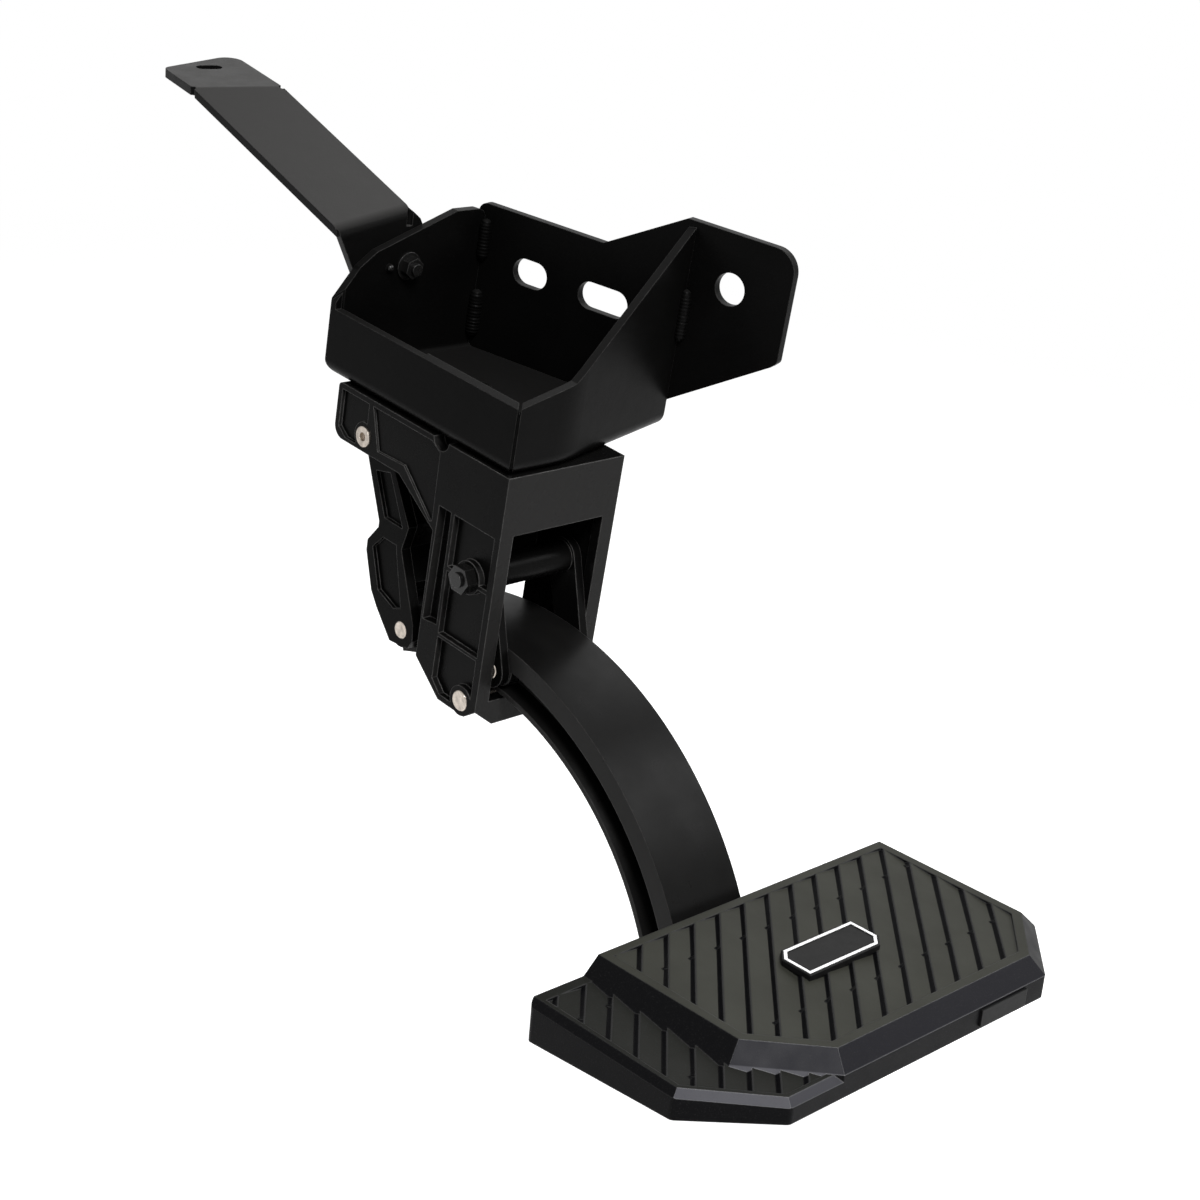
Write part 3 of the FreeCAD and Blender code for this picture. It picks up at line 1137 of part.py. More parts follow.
def copies(label, spots, make_one, spot_frame):
    """Several equal fasteners in one node."""
    solids = [make_one(as_size(x).value, as_size(y).value) for x, y in spots]
    group = doc.addObject("Part::Feature", label)
    group.Shape = Part.makeCompound(solids)
    place(group, *spot_frame)
    return piece(group, label)


def rod(x, y, low, high, radius):
    """An upright cylinder between two heights."""
    low, high, radius = as_size(low).value, as_size(high).value, as_size(radius).value
    return Part.makeCylinder(radius, high - low, Vector(x, y, low))


def hex_prism(x, y, low, high, across_flats):
    low, high = as_size(low).value, as_size(high).value
    corners = hexagon(as_size(across_flats).value)
    points = [Vector(x + px, y + py, low) for px, py in corners + corners[:1]]
    return Part.Face(Part.makePolygon(points)).extrude(Vector(0, 0, high - low))


def make_fasteners():
    """The bolts and screws that stand across the tray's floor and under the pad."""
    def housing_bolt(x, y):
        solid = rod(x, y, -(gauge + roof), 0, bolt_r).fuse(rod(x, y, 0, 5, bolt_r * 1.7))
        return solid.removeSplitter().cut(hex_prism(x, y, 2, 6, bolt_r * 1.6))

    def foot_bolt(x, y):
        solid = rod(x, y, -foot, carrier + 8, foot_bolt_r)
        solid = solid.fuse(rod(x, y, -(foot + 5), -foot, foot_bolt_r * 1.7)).removeSplitter()
        return solid.cut(hex_prism(x, y, -(foot + 6), -(foot + 2), foot_bolt_r * 1.6))

    def foot_nut(x, y):
        return hex_prism(x, y, carrier, carrier + 6.5, 13).cut(rod(x, y, 0, 20, foot_bolt_r + pin_play))

    def pad_screw(x, y):
        solid = rod(x, y, 0, carrier + screw_bite, pad_screw_r)
        return solid.fuse(rod(x, y, -2.6, 0, pad_screw_r * 1.9)).removeSplitter()

    sole = (0, sole_y, sole_z, X_AXIS, -sole_tilt)
    copies("housing_bolts", HOUSING_BOLTS, housing_bolt, (0, 0, gauge))
    copies("foot_bolts", FOOT_BOLTS, foot_bolt, sole)
    copies("foot_nuts", FOOT_BOLTS, foot_nut, sole)
    copies("pad_screws", PAD_SCREWS, pad_screw, sole)


def make_bushes():
    """Plain bushes: upper pin in the rear link, lower pin in the arm, hub bolt in the front link."""
    for side_name, sign in (("left", -1), ("right", 1)):
        start = -rear_link_outer if sign < 0 else link_inner
        bush(f"upper_bush_{side_name}", start, rear_link_wall, upper_y, upper_z, upper_bush_r,
             pin_r + pin_play)
        start = -arm_side if sign < 0 else arm_side - arm_bush
        bush(f"lower_bush_{side_name}", start, arm_bush, lower_y, lower_z, bush_r, link_pin_r + pin_play)
    hub_bush = bolt_r + pin_play + bush_wall
    bush("hub_bush", -inside, inside * 2, hub_y, hub_z, hub_bush, bolt_r + pin_play)


def make_badges():
    """Two blank badge plates, one on the deck and one on the pad's front."""
    doc.recompute()
    deck = body("deck_badge")
    place(deck, 0, pad_y, pad_z, X_AXIS, -deck_tilt)
    half_long, half_wide = badge_long / 2, badge_wide / 2
    clip = half_wide * 0.6
    outline = [(badge_x + sx * (half_long - cx), -badge_y + sy * (half_wide - cy)) for sx, sy, cx, cy in
               ((1, -1, clip, 0), (1, -1, 0, clip), (1, 1, 0, clip), (1, 1, clip, 0),
                (-1, 1, clip, 0), (-1, 1, 0, clip), (-1, -1, 0, clip), (-1, -1, clip, 0))]
    pad(deck, sketch_on(deck, "XY_Plane", 0, [outline]), badge_thick)
    front = body("front_badge")
    place(front, 0, pad_y, pad_z, X_AXIS, -deck_tilt)
    x0, x1, z0, z1 = 52.0, 96.0, -23.5, -12.5
    pad(front, sketch_on(front, "XZ_Plane", pad_depth, [[(x0, z0), (x1, z0), (x1, z1), (x0, z1)]]),
        1.5)


make_tray()
make_back_plate()
make_strap()
make_strap_bolt()
make_housing()
make_rear_link()
make_front_link()
make_arm()
make_foot()
make_carrier()
make_step_pad()
make_pins()
make_hub_bolt()
make_bushes()
make_fasteners()
make_badges()
doc.recompute()

for thing in doc.Objects:
    if "Invalid" in thing.State or "Error" in thing.State:
        raise RuntimeError(f"{thing.Label}: {thing.State}")
for thing in PIECES:
    if thing.Shape.isNull() or not thing.Shape.isValid():
        raise RuntimeError(f"{thing.Label}: no valid shape")
for thing in PIECES:
    thing.Shape.exportStep(os.path.join("parts", f"{thing.Label}.step"))
    box = thing.Shape.BoundBox
    print(f"{thing.Label:20s} solids {len(thing.Shape.Solids)} volume {thing.Shape.Volume:10.0f}"
          f" x {box.XMin:7.1f} {box.XMax:7.1f} y {box.YMin:7.1f} {box.YMax:7.1f}"
          f" z {box.ZMin:7.1f} {box.ZMax:7.1f}")
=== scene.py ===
"""Looks of the retractable vehicle step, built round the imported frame.

The scene is in metres, in the frame of the CAD model: +X across the step along its hinge pins,
+Y to the rear, +Z up. The numbers that place and size the extra pieces are in millimetres.
"""

import json
import math
import random

import bmesh
import bpy
from mathutils import Matrix, Quaternion, Vector

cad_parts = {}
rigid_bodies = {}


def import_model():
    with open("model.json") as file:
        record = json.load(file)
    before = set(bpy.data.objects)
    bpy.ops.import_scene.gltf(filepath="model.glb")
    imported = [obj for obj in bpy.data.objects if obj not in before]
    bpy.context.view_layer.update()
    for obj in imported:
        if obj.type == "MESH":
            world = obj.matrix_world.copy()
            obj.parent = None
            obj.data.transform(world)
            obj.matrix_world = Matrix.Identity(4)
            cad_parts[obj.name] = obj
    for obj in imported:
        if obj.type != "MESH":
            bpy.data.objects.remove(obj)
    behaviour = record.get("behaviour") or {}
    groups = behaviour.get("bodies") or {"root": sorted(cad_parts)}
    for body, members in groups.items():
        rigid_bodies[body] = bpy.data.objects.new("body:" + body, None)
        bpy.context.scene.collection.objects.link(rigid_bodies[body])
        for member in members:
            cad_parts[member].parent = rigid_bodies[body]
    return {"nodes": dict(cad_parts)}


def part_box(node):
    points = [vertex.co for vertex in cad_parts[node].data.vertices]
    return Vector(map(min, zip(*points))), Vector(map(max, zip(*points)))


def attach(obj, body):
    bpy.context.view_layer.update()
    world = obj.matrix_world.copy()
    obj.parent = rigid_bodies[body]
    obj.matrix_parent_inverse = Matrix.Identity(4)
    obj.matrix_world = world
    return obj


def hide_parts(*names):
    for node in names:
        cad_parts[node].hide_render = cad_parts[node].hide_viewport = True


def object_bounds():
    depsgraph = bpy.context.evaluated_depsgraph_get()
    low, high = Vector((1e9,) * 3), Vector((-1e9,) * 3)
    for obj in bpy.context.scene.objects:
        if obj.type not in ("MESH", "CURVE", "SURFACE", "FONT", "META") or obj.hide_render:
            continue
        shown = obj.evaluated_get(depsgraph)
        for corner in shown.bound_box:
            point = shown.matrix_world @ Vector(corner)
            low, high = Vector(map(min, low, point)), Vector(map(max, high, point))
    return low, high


for leftover in list(bpy.data.objects):
    bpy.data.objects.remove(leftover)

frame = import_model()
cad_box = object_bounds()
scene = bpy.context.scene
MM = 0.001
MIDDLE = (cad_box[0] + cad_box[1]) / 2
UP, FRONT, LEFT = (0, 0, 1), (0, -1, 0), (-1, 0, 0)
DECK_TILT = math.radians(5.94)


# Materials

PATCHY, EVEN = (0.35, 0.65), (0.3, 0.7)     # ranges of a noise's values: clear patches, soft ones
EDGE_TURN = (0.98, 0.82)                    # rounded times true normal: an edge's start, its full
MIX_COLOURS, MIX_RESULT = (6, 7), 2         # the mix node's sockets for colours


class Nodes:
    """A material's node tree, with short calls for the nodes that the finishes share."""

    def __init__(self, name):
        self.material = bpy.data.materials.new(name)
        self.material.use_nodes = True
        self.tree = self.material.node_tree
        self.tree.nodes.clear()
        self.output = self.add("ShaderNodeOutputMaterial")
        self.shader = self.add("ShaderNodeBsdfPrincipled")
        self.link(self.shader.outputs["BSDF"], self.output.inputs["Surface"])
        coordinates = self.add("ShaderNodeTexCoord")
        self.place, self.facing = coordinates.outputs["Object"], coordinates.outputs["Normal"]

    def add(self, kind, **settings):
        node = self.tree.nodes.new(kind)
        for key, value in settings.items():
            setattr(node, key, value)
        return node

    def link(self, start, end):
        self.tree.links.new(start, end)

    def feed(self, socket, given):
        """Link a node's output to an input, or set the input to numbers."""
        if isinstance(given, bpy.types.NodeSocket):
            self.link(given, socket)
        else:
            socket.default_value = given

    def value(self, name, number):
        self.shader.inputs[name].default_value = number

    def noise(self, size, detail=2.0, roughness=0.5):
        """Noise whose features are about size metres across; its output runs from 0 to 1."""
        noise = self.add("ShaderNodeTexNoise")
        noise.inputs["Scale"].default_value = 1 / size
        noise.inputs["Detail"].default_value = detail
        noise.inputs["Roughness"].default_value = roughness
        self.link(self.place, noise.inputs["Vector"])
        return noise.outputs["Fac"]

    def dot(self, first, second):
        """The dot product of a vector output with another one or with three numbers."""
        node = self.add("ShaderNodeVectorMath", operation="DOT_PRODUCT")
        self.link(first, node.inputs[0])
        self.feed(node.inputs[1], second)
        return node.outputs["Value"]

    def towards(self, direction):
        """How far a face turns to a direction in the object's frame: 1 straight on, 0 edge on."""
        return self.dot(self.facing, direction)

    def math(self, operation, first, second):
        node = self.add("ShaderNodeMath", operation=operation)
        self.link(first, node.inputs[0])
        self.feed(node.inputs[1], second)
        return node.outputs[0]

    def spread(self, given, low, high, start=0.0, end=1.0):
        """Map a range of values to another."""
        node = self.add("ShaderNodeMapRange")
        self.link(given, node.inputs["Value"])
        limits = {"From Min": low, "From Max": high, "To Min": start, "To Max": end}
        for key, number in limits.items():
            node.inputs[key].default_value = number
        return node.outputs["Result"]

    def mix(self, share, first, second):
        """Mix two colours, each a colour output or four numbers."""
        node = self.add("ShaderNodeMix", data_type="RGBA")
        self.link(share, node.inputs["Factor"])
        for key, given in zip(MIX_COLOURS, (first, second)):
            self.feed(node.inputs[key], given)
        return node.outputs[MIX_RESULT]

    def edges(self, radius):
        """The rounded normal of an edge, and a mask that is 1 on edges and 0 on flat faces."""
        bevel = self.add("ShaderNodeBevel", samples=6)
        bevel.inputs["Radius"].default_value = radius
        geometry = self.add("ShaderNodeNewGeometry")
        turned = self.dot(bevel.outputs["Normal"], geometry.outputs["Normal"])
        return bevel.outputs["Normal"], self.spread(turned, *EDGE_TURN)

    def bump(self, height, strength, distance, normal):
        node = self.add("ShaderNodeBump")
        node.inputs["Strength"].default_value = strength
        node.inputs["Distance"].default_value = distance
        self.link(height, node.inputs["Height"])
        self.link(normal, node.inputs["Normal"])
        return node.outputs["Normal"]

    def finish(self, colour, roughness, normal):
        self.link(colour, self.shader.inputs["Base Color"])
        self.link(roughness, self.shader.inputs["Roughness"])
        self.link(normal, self.shader.inputs["Normal"])
        return self.material


def grey(level, warm=0.0):
    """A grey; warm is the share that its red gains and its blue loses."""
    return (level * (1 + warm), level, level * (1 - warm), 1.0)


def tint(level, red, green, blue):
    """A colour from a level and the share of it in each channel."""
    return (level * red, level * green, level * blue, 1.0)


COAT_WARMTH = 0.02


def coating(name, level, rough, grain, depth, gloss, edge=0.02, edge_radius=0.7 * MM, painted_light=None):
    """Powder coat: fine pebbled grain, slow variation of tone, edges paler: partly worn thin,
    partly a painted highlight.

    level and edge are the greys of the coat and its edges, grain and depth its pebbles' size.
    gloss is the specular level, and edge_radius is how far the paler edges reach.
    The last argument is a direction and a number: the coat on faces turned that way is painted that
    many times paler, a painted sheen of light.
    """
    def shade(times):
        return grey(level * times, COAT_WARMTH)

    nodes = Nodes(name)
    normal, mask = nodes.edges(edge_radius)
    cloud = nodes.noise(60 * MM, 3.0)
    speck = nodes.noise(grain * 2.2, 1.0)
    tone = nodes.mix(nodes.spread(cloud, *PATCHY), shade(0.82), shade(1.2))
    tone = nodes.mix(nodes.spread(speck, 0.62, 0.78, 0.0, 0.5), tone, shade(2.0))
    # Painted light: the faces turned to the given direction are painted paler, as if lit from
    # there.
    if painted_light:
        direction, paler = painted_light
        tone = nodes.mix(nodes.spread(nodes.towards(direction), 0.45, 0.95), tone, shade(paler))
    # Paler edges, broken up by noise: partly worn coat, partly a painted highlight.
    wear_and_glint = nodes.spread(nodes.noise(7 * MM), *EVEN, 0.45, 1.0)
    tone = nodes.mix(nodes.math("MULTIPLY", mask, wear_and_glint), tone, grey(edge, COAT_WARMTH))
    roughness = nodes.spread(nodes.noise(18 * MM, 4.0), *EVEN, rough - 0.05, rough + 0.05)
    pebble = nodes.noise(grain, 2.0, 0.6)
    ripple = nodes.noise(grain * 7, 1.0)
    height = nodes.math("ADD", pebble, nodes.math("MULTIPLY", ripple, 0.8))
    nodes.value("Specular IOR Level", gloss)
    return nodes.finish(tone, roughness, nodes.bump(height, 0.55, depth, normal))


PAD_UP = (0, math.sin(DECK_TILT), math.cos(DECK_TILT))
PAD_RIM = (-0.35, -0.60, 0.72)              # between the deck's front and front left bevels; turned this way means painted sheen and highlight
PAD_LEVELS = (-355.4 * MM, -354.9 * MM)     # along PAD_UP, just above the foot of the bevels; lower down is painted shade and sheen
# The dark given to bevels turned away from PAD_RIM: painted shade.
RIM_PAINTED_SHADE = (0.003, 0.003, 0.0035, 1.0)


def moulded(name, level, gloss):
    """Grained black plastic of the pad: a fine leather-like grain with paler edges, partly worn.
    The lower level, the bevels and the edges facing PAD_RIM have painted shade, sheen and
    highlight.
    """
    nodes = Nodes(name)
    normal, mask = nodes.edges(1.5 * MM)
    cloud = nodes.noise(45 * MM, 3.0)
    top_tone_and_low_shade = nodes.mix(nodes.spread(cloud, *PATCHY),
                        tint(level, 0.9, 0.91, 0.74), tint(level, 1.1, 1.12, 0.92))
    # The top faces of the lower level are painted darker, as shade; its bevels brighter and bluer,
    # as sheen.
    raised = nodes.spread(nodes.dot(nodes.place, PAD_UP), *PAD_LEVELS)
    top_tone_and_low_shade = nodes.mix(raised, tint(level, 0.36, 0.37, 0.32), top_tone_and_low_shade)
    bevel_sheen_and_shade = nodes.mix(raised, tint(level, 2.2, 2.2, 2.5), tint(level, 0.5, 0.5, 0.62))
    # Bevels turned to PAD_RIM keep the painted sheen, the others take painted shade.
    lit = nodes.spread(nodes.towards(PAD_RIM), 0.88, 0.975)
    bevel_sheen_and_shade = nodes.mix(lit, RIM_PAINTED_SHADE, bevel_sheen_and_shade)
    tone = nodes.mix(nodes.spread(nodes.towards(PAD_UP), 0.93, 0.975), bevel_sheen_and_shade, top_tone_and_low_shade)
    speck = nodes.noise(0.9 * MM)
    tone = nodes.mix(nodes.spread(speck, 0.58, 0.74, 0.0, 0.3), tone, grey(level * 1.1))
    # Edges are painted paler: a little where worn, much paler where they face PAD_RIM, a painted
    # highlight.
    worn_edge_and_highlight = nodes.mix(lit, grey(level * 1.4), grey(level * 9))
    tone = nodes.mix(nodes.math("MULTIPLY", mask, 1.2), tone, worn_edge_and_highlight)
    cells = nodes.add("ShaderNodeTexVoronoi", feature="SMOOTH_F1")
    cells.inputs["Scale"].default_value = 1 / (0.8 * MM)
    nodes.link(nodes.place, cells.inputs["Vector"])
    grain = nodes.math("ADD", cells.outputs["Distance"], nodes.noise(0.5 * MM))
    roughness = nodes.spread(nodes.noise(14 * MM, 4.0), *EVEN, 0.34, 0.44)
    nodes.value("Specular IOR Level", gloss)
    return nodes.finish(tone, roughness, nodes.bump(grain, 0.6, 0.05 * MM, normal))


def plated(name, colour, rough):
    """Bright metal with fine turning marks."""
    nodes = Nodes(name)
    normal, mask = nodes.edges(0.35 * MM)
    dull, bright = tint(0.62, *colour), tint(1.05, *colour)
    tone = nodes.mix(nodes.spread(nodes.noise(4 * MM, 3.0), *EVEN), dull, bright)
    # The edges are mixed towards the bright tone: a painted highlight.
    tone = nodes.mix(nodes.math("MULTIPLY", mask, 0.5), tone, bright)
    marks = nodes.noise(0.5 * MM)
    roughness = nodes.spread(marks, *EVEN, rough - 0.07, rough + 0.08)
    nodes.value("Metallic", 1.0)
    return nodes.finish(tone, roughness, nodes.bump(marks, 0.25, 0.02 * MM, normal))


def smooth_plastic(name, level, rough):
    """Smooth, slightly worn plastic of the badges, its edges painted paler as a highlight."""
    nodes = Nodes(name)
    normal, mask = nodes.edges(0.4 * MM)
    cloud = nodes.noise(9 * MM, 3.0)
    tone = nodes.mix(nodes.spread(cloud, *PATCHY), grey(level * 0.85), grey(level * 1.15))
    # Edges are painted paler: a painted highlight.
    tone = nodes.mix(nodes.math("MULTIPLY", mask, 0.4), tone, grey(min(1.0, level * 1.5)))
    roughness = nodes.spread(nodes.noise(3 * MM, 3.0), *EVEN, rough - 0.06, rough + 0.06)
    nodes.value("Specular IOR Level", 0.06)
    return nodes.finish(tone, roughness, nodes.bump(nodes.noise(0.3 * MM), 0.2, 0.02 * MM, normal))


# A coat given a direction is painted paler on the faces turned that way: painted light.
bracket_coat = coating("bracket_coat", level=0.0022, rough=0.34, grain=0.8 * MM, depth=0.09 * MM,
                       gloss=0.032, edge=0.05, edge_radius=0.9 * MM, painted_light=(UP, 3.5))
strap_coat = coating("strap_coat", level=0.0022, rough=0.38, grain=0.8 * MM, depth=0.11 * MM,
                     gloss=0.05, edge=0.05, edge_radius=0.9 * MM, painted_light=(UP, 15.0))
cast_coat = coating("cast_coat", level=0.003, rough=0.28, grain=0.40 * MM, depth=0.04 * MM,
                    gloss=0.045, edge=0.11, edge_radius=1.3 * MM, painted_light=(FRONT, 5.0))
link_coat = coating("link_coat", level=0.0025, rough=0.28, grain=0.40 * MM, depth=0.04 * MM,
                    gloss=0.03, edge=0.10, edge_radius=1.3 * MM)
arm_coat = coating("arm_coat", level=0.0045, rough=0.32, grain=0.35 * MM, depth=0.025 * MM,
                   gloss=0.055, edge=0.05, edge_radius=1.1 * MM, painted_light=(LEFT, 4.0))
plate_coat = coating("plate_coat", level=0.010, rough=0.45, grain=0.5 * MM, depth=0.05 * MM,
                     gloss=0.2)
pad_grain = moulded("pad_grain", level=0.030, gloss=0.04)
tread_grain = moulded("tread_grain", level=0.030, gloss=0.01)
pin_finish = plated("pin_finish", (0.56, 0.50, 0.44), rough=0.28)
bronze = plated("bronze", (0.50, 0.36, 0.20), rough=0.42)
black_zinc = coating("black_zinc", level=0.005, rough=0.26, grain=0.25 * MM, depth=0.02 * MM,
                     gloss=0.30, edge=0.06, edge_radius=0.6 * MM)
badge_black = smooth_plastic("badge_black", level=0.008, rough=0.34)
badge_line = smooth_plastic("badge_line", level=0.82, rough=0.45)

FINISHES = (
    (bracket_coat, ("bracket_tray", "back_plate")),
    (strap_coat, ("support_strap",)),
    (cast_coat, ("housing",)),
    (link_coat, ("rear_link", "front_link")),
    (arm_coat, ("arm", "arm_foot")),
    (plate_coat, ("pad_carrier",)),
    (pad_grain, ("step_pad",)),
    (pin_finish, ("upper_pin", "stop_rod", "lower_pin", "front_pin")),
    (bronze, ("upper_bush_left", "upper_bush_right", "lower_bush_left", "lower_bush_right",
              "hub_bush")),
    (black_zinc, ("strap_bolt", "strap_washer", "strap_inner_washer", "strap_nut", "strap_pin",
                  "housing_bolts", "hub_bolt", "hub_nut", "foot_bolts", "foot_nuts", "pad_screws")),
    (badge_black, ("deck_badge", "front_badge")),
)
for material, names in FINISHES:
    for name in names:
        mesh = frame["nodes"][name].data
        mesh.materials.clear()
        mesh.materials.append(material)


# Pieces that the photograph shows and the CAD model leaves out

housing_low, housing_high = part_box("housing")
DRAWING = Vector(((housing_low.x + housing_high.x) / 2, housing_low.y, housing_high.z))
PAD_BACK, PAD_DROP = 193.7, 219.1
PAD = (Matrix.Translation(DRAWING + Vector((0, -PAD_BACK, -PAD_DROP)) * MM)
       @ Matrix.Rotation(-DECK_TILT, 4, "X"))
CUT_INSET = 2 - math.sqrt(2)                # what a corner cut at 45 degrees loses to an inset of 1
CUT_TURN = math.tan(math.radians(22.5))     # how far the cut's ends slide along the sides


def in_drawing(x, y, z):
    """A point given in millimetres from the top of the housing's front face."""
    return DRAWING + Vector((x, y, z)) * MM


def on_pad(x, y, z):
    """A point given in millimetres from the middle of the deck's back edge, with z off the deck."""
    return PAD @ (Vector((x, y, z)) * MM)


def join(form, one, two):
    """The faces between two rings of corners."""
    for i in range(len(one)):
        j = (i + 1) % len(one)
        form.faces.new((one[i], one[j], two[j], two[i]))


def stack(form, rings, looped=False):
    """Join outlines in a row, with a face at each end or, looped, the last to the first."""
    rows = [[form.verts.new(corner) for corner in ring] for ring in rings]
    for one, two in zip(rows, rows[1:]):
        join(form, one, two)
    if looped:
        join(form, rows[0], rows[-1])
    else:
        form.faces.new(rows[0])
        form.faces.new(rows[-1])


def finished(name, form, material, body, smooth=False):
    """Make a piece of the scene from a bmesh, on the body that it moves with."""
    bmesh.ops.recalc_face_normals(form, faces=form.faces)
    for face in form.faces:
        face.smooth = smooth
    mesh = bpy.data.meshes.new(name)
    form.to_mesh(mesh)
    form.free()
    mesh.materials.append(material)
    piece = bpy.data.objects.new(name, mesh)
    scene.collection.objects.link(piece)
    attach(piece, body)
    return piece


# The pad: its sides and depth, its cut corners, the raised deck, the treads and their borders
PAD_LEFT, PAD_RIGHT, PAD_DEPTH = 162.0, 163.0, 165.5
CUT_LEFT, CUT_RIGHT_X, CUT_RIGHT_Y = 46.0, 47.0, 43.0
DECK_LEFT, DECK_BEVEL, DECK_CUT = 107.0, 11.0, 46.0
DECK_BORDER, LEVEL_BORDER = 6.5, 7.5
TREAD_PITCH, TREAD_SHIFT, TREAD_DEEP = 15.9, 1.8, 2.4
TREAD_SLOPE, TREAD_SINK, SHORTEST_TREAD = 3.3, 0.3, 4
TREAD_NUMBERS = range(-16, 17)
LINE_REACH, HALVINGS = 260, 14              # the search for a tread's ends, and its refinement
KINKS, KINK_STEP = (-35.0, -115.0), 1.2     # where the risers have kinks, and a kink's step
KINK_WIDTHS = ((-2, 0.9), (-1, 1.35), (0, 1.3), (1, 0.85))     # steps off, share of the slope


def deck_outline(inset, rear):
    """The raised deck with its bevel, inset at its sides and front, and from rear on."""
    left, right = -(DECK_LEFT + DECK_BEVEL) + inset, PAD_RIGHT - inset
    front, corner = -PAD_DEPTH + inset, inset * CUT_INSET
    return [(left, -rear), (right, -rear), (right, front + CUT_RIGHT_Y - corner),
            (right - CUT_RIGHT_X + corner, front), (left + DECK_CUT - corner, front),
            (left, front + DECK_CUT - corner)]


def level_outline(inset):
    """The whole pad's outline, inset all round."""
    corner = inset * CUT_TURN
    return [(-PAD_LEFT + inset, -inset), (PAD_RIGHT - inset, -inset),
            (PAD_RIGHT - inset, -PAD_DEPTH + CUT_RIGHT_Y + corner),
            (PAD_RIGHT - CUT_RIGHT_X - corner, -PAD_DEPTH + inset),
            (-PAD_LEFT + CUT_LEFT + corner, -PAD_DEPTH + inset),
            (-PAD_LEFT + inset, -PAD_DEPTH + CUT_LEFT + corner)]


def inside(outline, x, y):
    """Whether a point lies in a convex outline that runs clockwise."""
    return all((bx - ax) * (y - ay) - (by - ay) * (x - ax) <= 0
               for (ax, ay), (bx, by) in zip(outline, outline[1:] + outline[:1]))


def across_treads(s, t):
    """A point of the pad from its distances across and along the treads."""
    return (s + t) / math.sqrt(2), (t - s) / math.sqrt(2)


def spans(s, test):
    """Where the line at s runs inside a region: a list of (start, end) along it."""
    def edge(low, high):
        start = test(*across_treads(s, low))
        for _ in range(HALVINGS):
            middle = (low + high) / 2
            if test(*across_treads(s, middle)) == start:
                low = middle
            else:
                high = middle
        return (low + high) / 2

    found, before = [], False
    for step in range(-LINE_REACH, LINE_REACH + 1):
        now = test(*across_treads(s, step))
        if now and not before:
            found.append([edge(step - 1, step)])
        if before and not now:
            found[-1].append(edge(step - 1, step))
        before = now
    return found


def tread_slope(form, s, height, test):
    """The sloped riser of one tread, with a small kink where two halves of the mould meet."""
    tops, feet = spans(s, test), spans(s - TREAD_SLOPE, test)
    for (top_start, top_end), (foot_start, foot_end) in zip(tops, feet):
        top_long, foot_long = top_end - top_start, foot_end - foot_start
        if min(top_long, foot_long) < SHORTEST_TREAD:
            continue
        stations = [(0.0, 1.0), (1.0, 1.0)]
        step = KINK_STEP / top_long
        for kink in KINKS:
            share = (kink * math.sqrt(2) + s - top_start) / top_long
            if 3 * step < share < 1 - 3 * step:
                stations += [(share + places * step, wide) for places, wide in KINK_WIDTHS]
        rings = []
        for share, wide in sorted(stations):
            slope = TREAD_SLOPE * wide
            foot_z = height - TREAD_DEEP * (TREAD_PITCH - slope) / TREAD_PITCH
            top = across_treads(s, top_start + top_long * share)
            foot = across_treads(s - slope, foot_start + foot_long * share)
            rings.append([on_pad(*top, height), on_pad(*top, height - TREAD_DEEP - TREAD_SINK),
                          on_pad(*foot, foot_z - TREAD_SINK), on_pad(*foot, foot_z)])
        stack(form, rings)


def make_tread_slopes():
    """The risers of the treads on the deck and, round its foot, on the lower level."""
    deck = deck_outline(DECK_BEVEL + DECK_BORDER, DECK_BORDER)
    foot = deck_outline(-TREAD_DEEP, -PAD_DEPTH)
    level = level_outline(LEVEL_BORDER)
    form = bmesh.new()
    for number in TREAD_NUMBERS:
        s = -TREAD_SHIFT + number * TREAD_PITCH
        tread_slope(form, s, 0.0, lambda x, y: inside(deck, x, y))
        tread_slope(form, s, -DECK_BEVEL,
                    lambda x, y: inside(level, x, y) and not inside(foot, x, y))
    finished("tread_risers", form, tread_grain, "arm")


BADGE_X, BADGE_Y, BADGE_LONG, BADGE_WIDE = 11.0, -80.0, 72.0, 31.0
BADGE_CLIP, BADGE_TOP, BADGE_CHAMFER = 8.0, 3.4, 0.5
FACE_IN, FACE_DEEP = 0.3, 0.4
LINE_IN, LINE_WIDE, LINE_HIGH, LINE_SINK = 1.5, 2.1, 0.25, 0.1


def badge_outline(inset, height):
    """The deck badge's outline: a rectangle with two opposite corners cut."""
    long, wide = BADGE_LONG / 2 - inset, BADGE_WIDE / 2 - inset
    clip = BADGE_CLIP - inset * CUT_INSET
    corners = [(-long, -wide), (long - clip, -wide), (long, -wide + clip), (long, wide),
               (-long + clip, wide), (-long, wide - clip)]
    return [on_pad(BADGE_X + x, BADGE_Y + y, height) for x, y in corners]


def make_deck_badge():
    """A blank raised plate with a pale line round its face."""
    form = bmesh.new()
    line_end = LINE_IN + LINE_WIDE
    stack(form, [badge_outline(BADGE_CHAMFER, -TREAD_DEEP),
                 badge_outline(0, -BADGE_CHAMFER),
                 badge_outline(0, BADGE_TOP - BADGE_CHAMFER),
                 badge_outline(BADGE_CHAMFER, BADGE_TOP),
                 badge_outline(line_end, BADGE_TOP),
                 badge_outline(line_end + FACE_IN, BADGE_TOP - FACE_DEEP)])
    plate = finished("deck_badge_plate", form, badge_black, "arm")
    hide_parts("deck_badge")
    form = bmesh.new()
    low, top = BADGE_TOP - LINE_SINK, BADGE_TOP + LINE_HIGH
    stack(form, [badge_outline(LINE_IN, low), badge_outline(LINE_IN, top),
                 badge_outline(line_end, top), badge_outline(line_end, low)], looped=True)
    finished("deck_badge_line", form, badge_line, "arm")


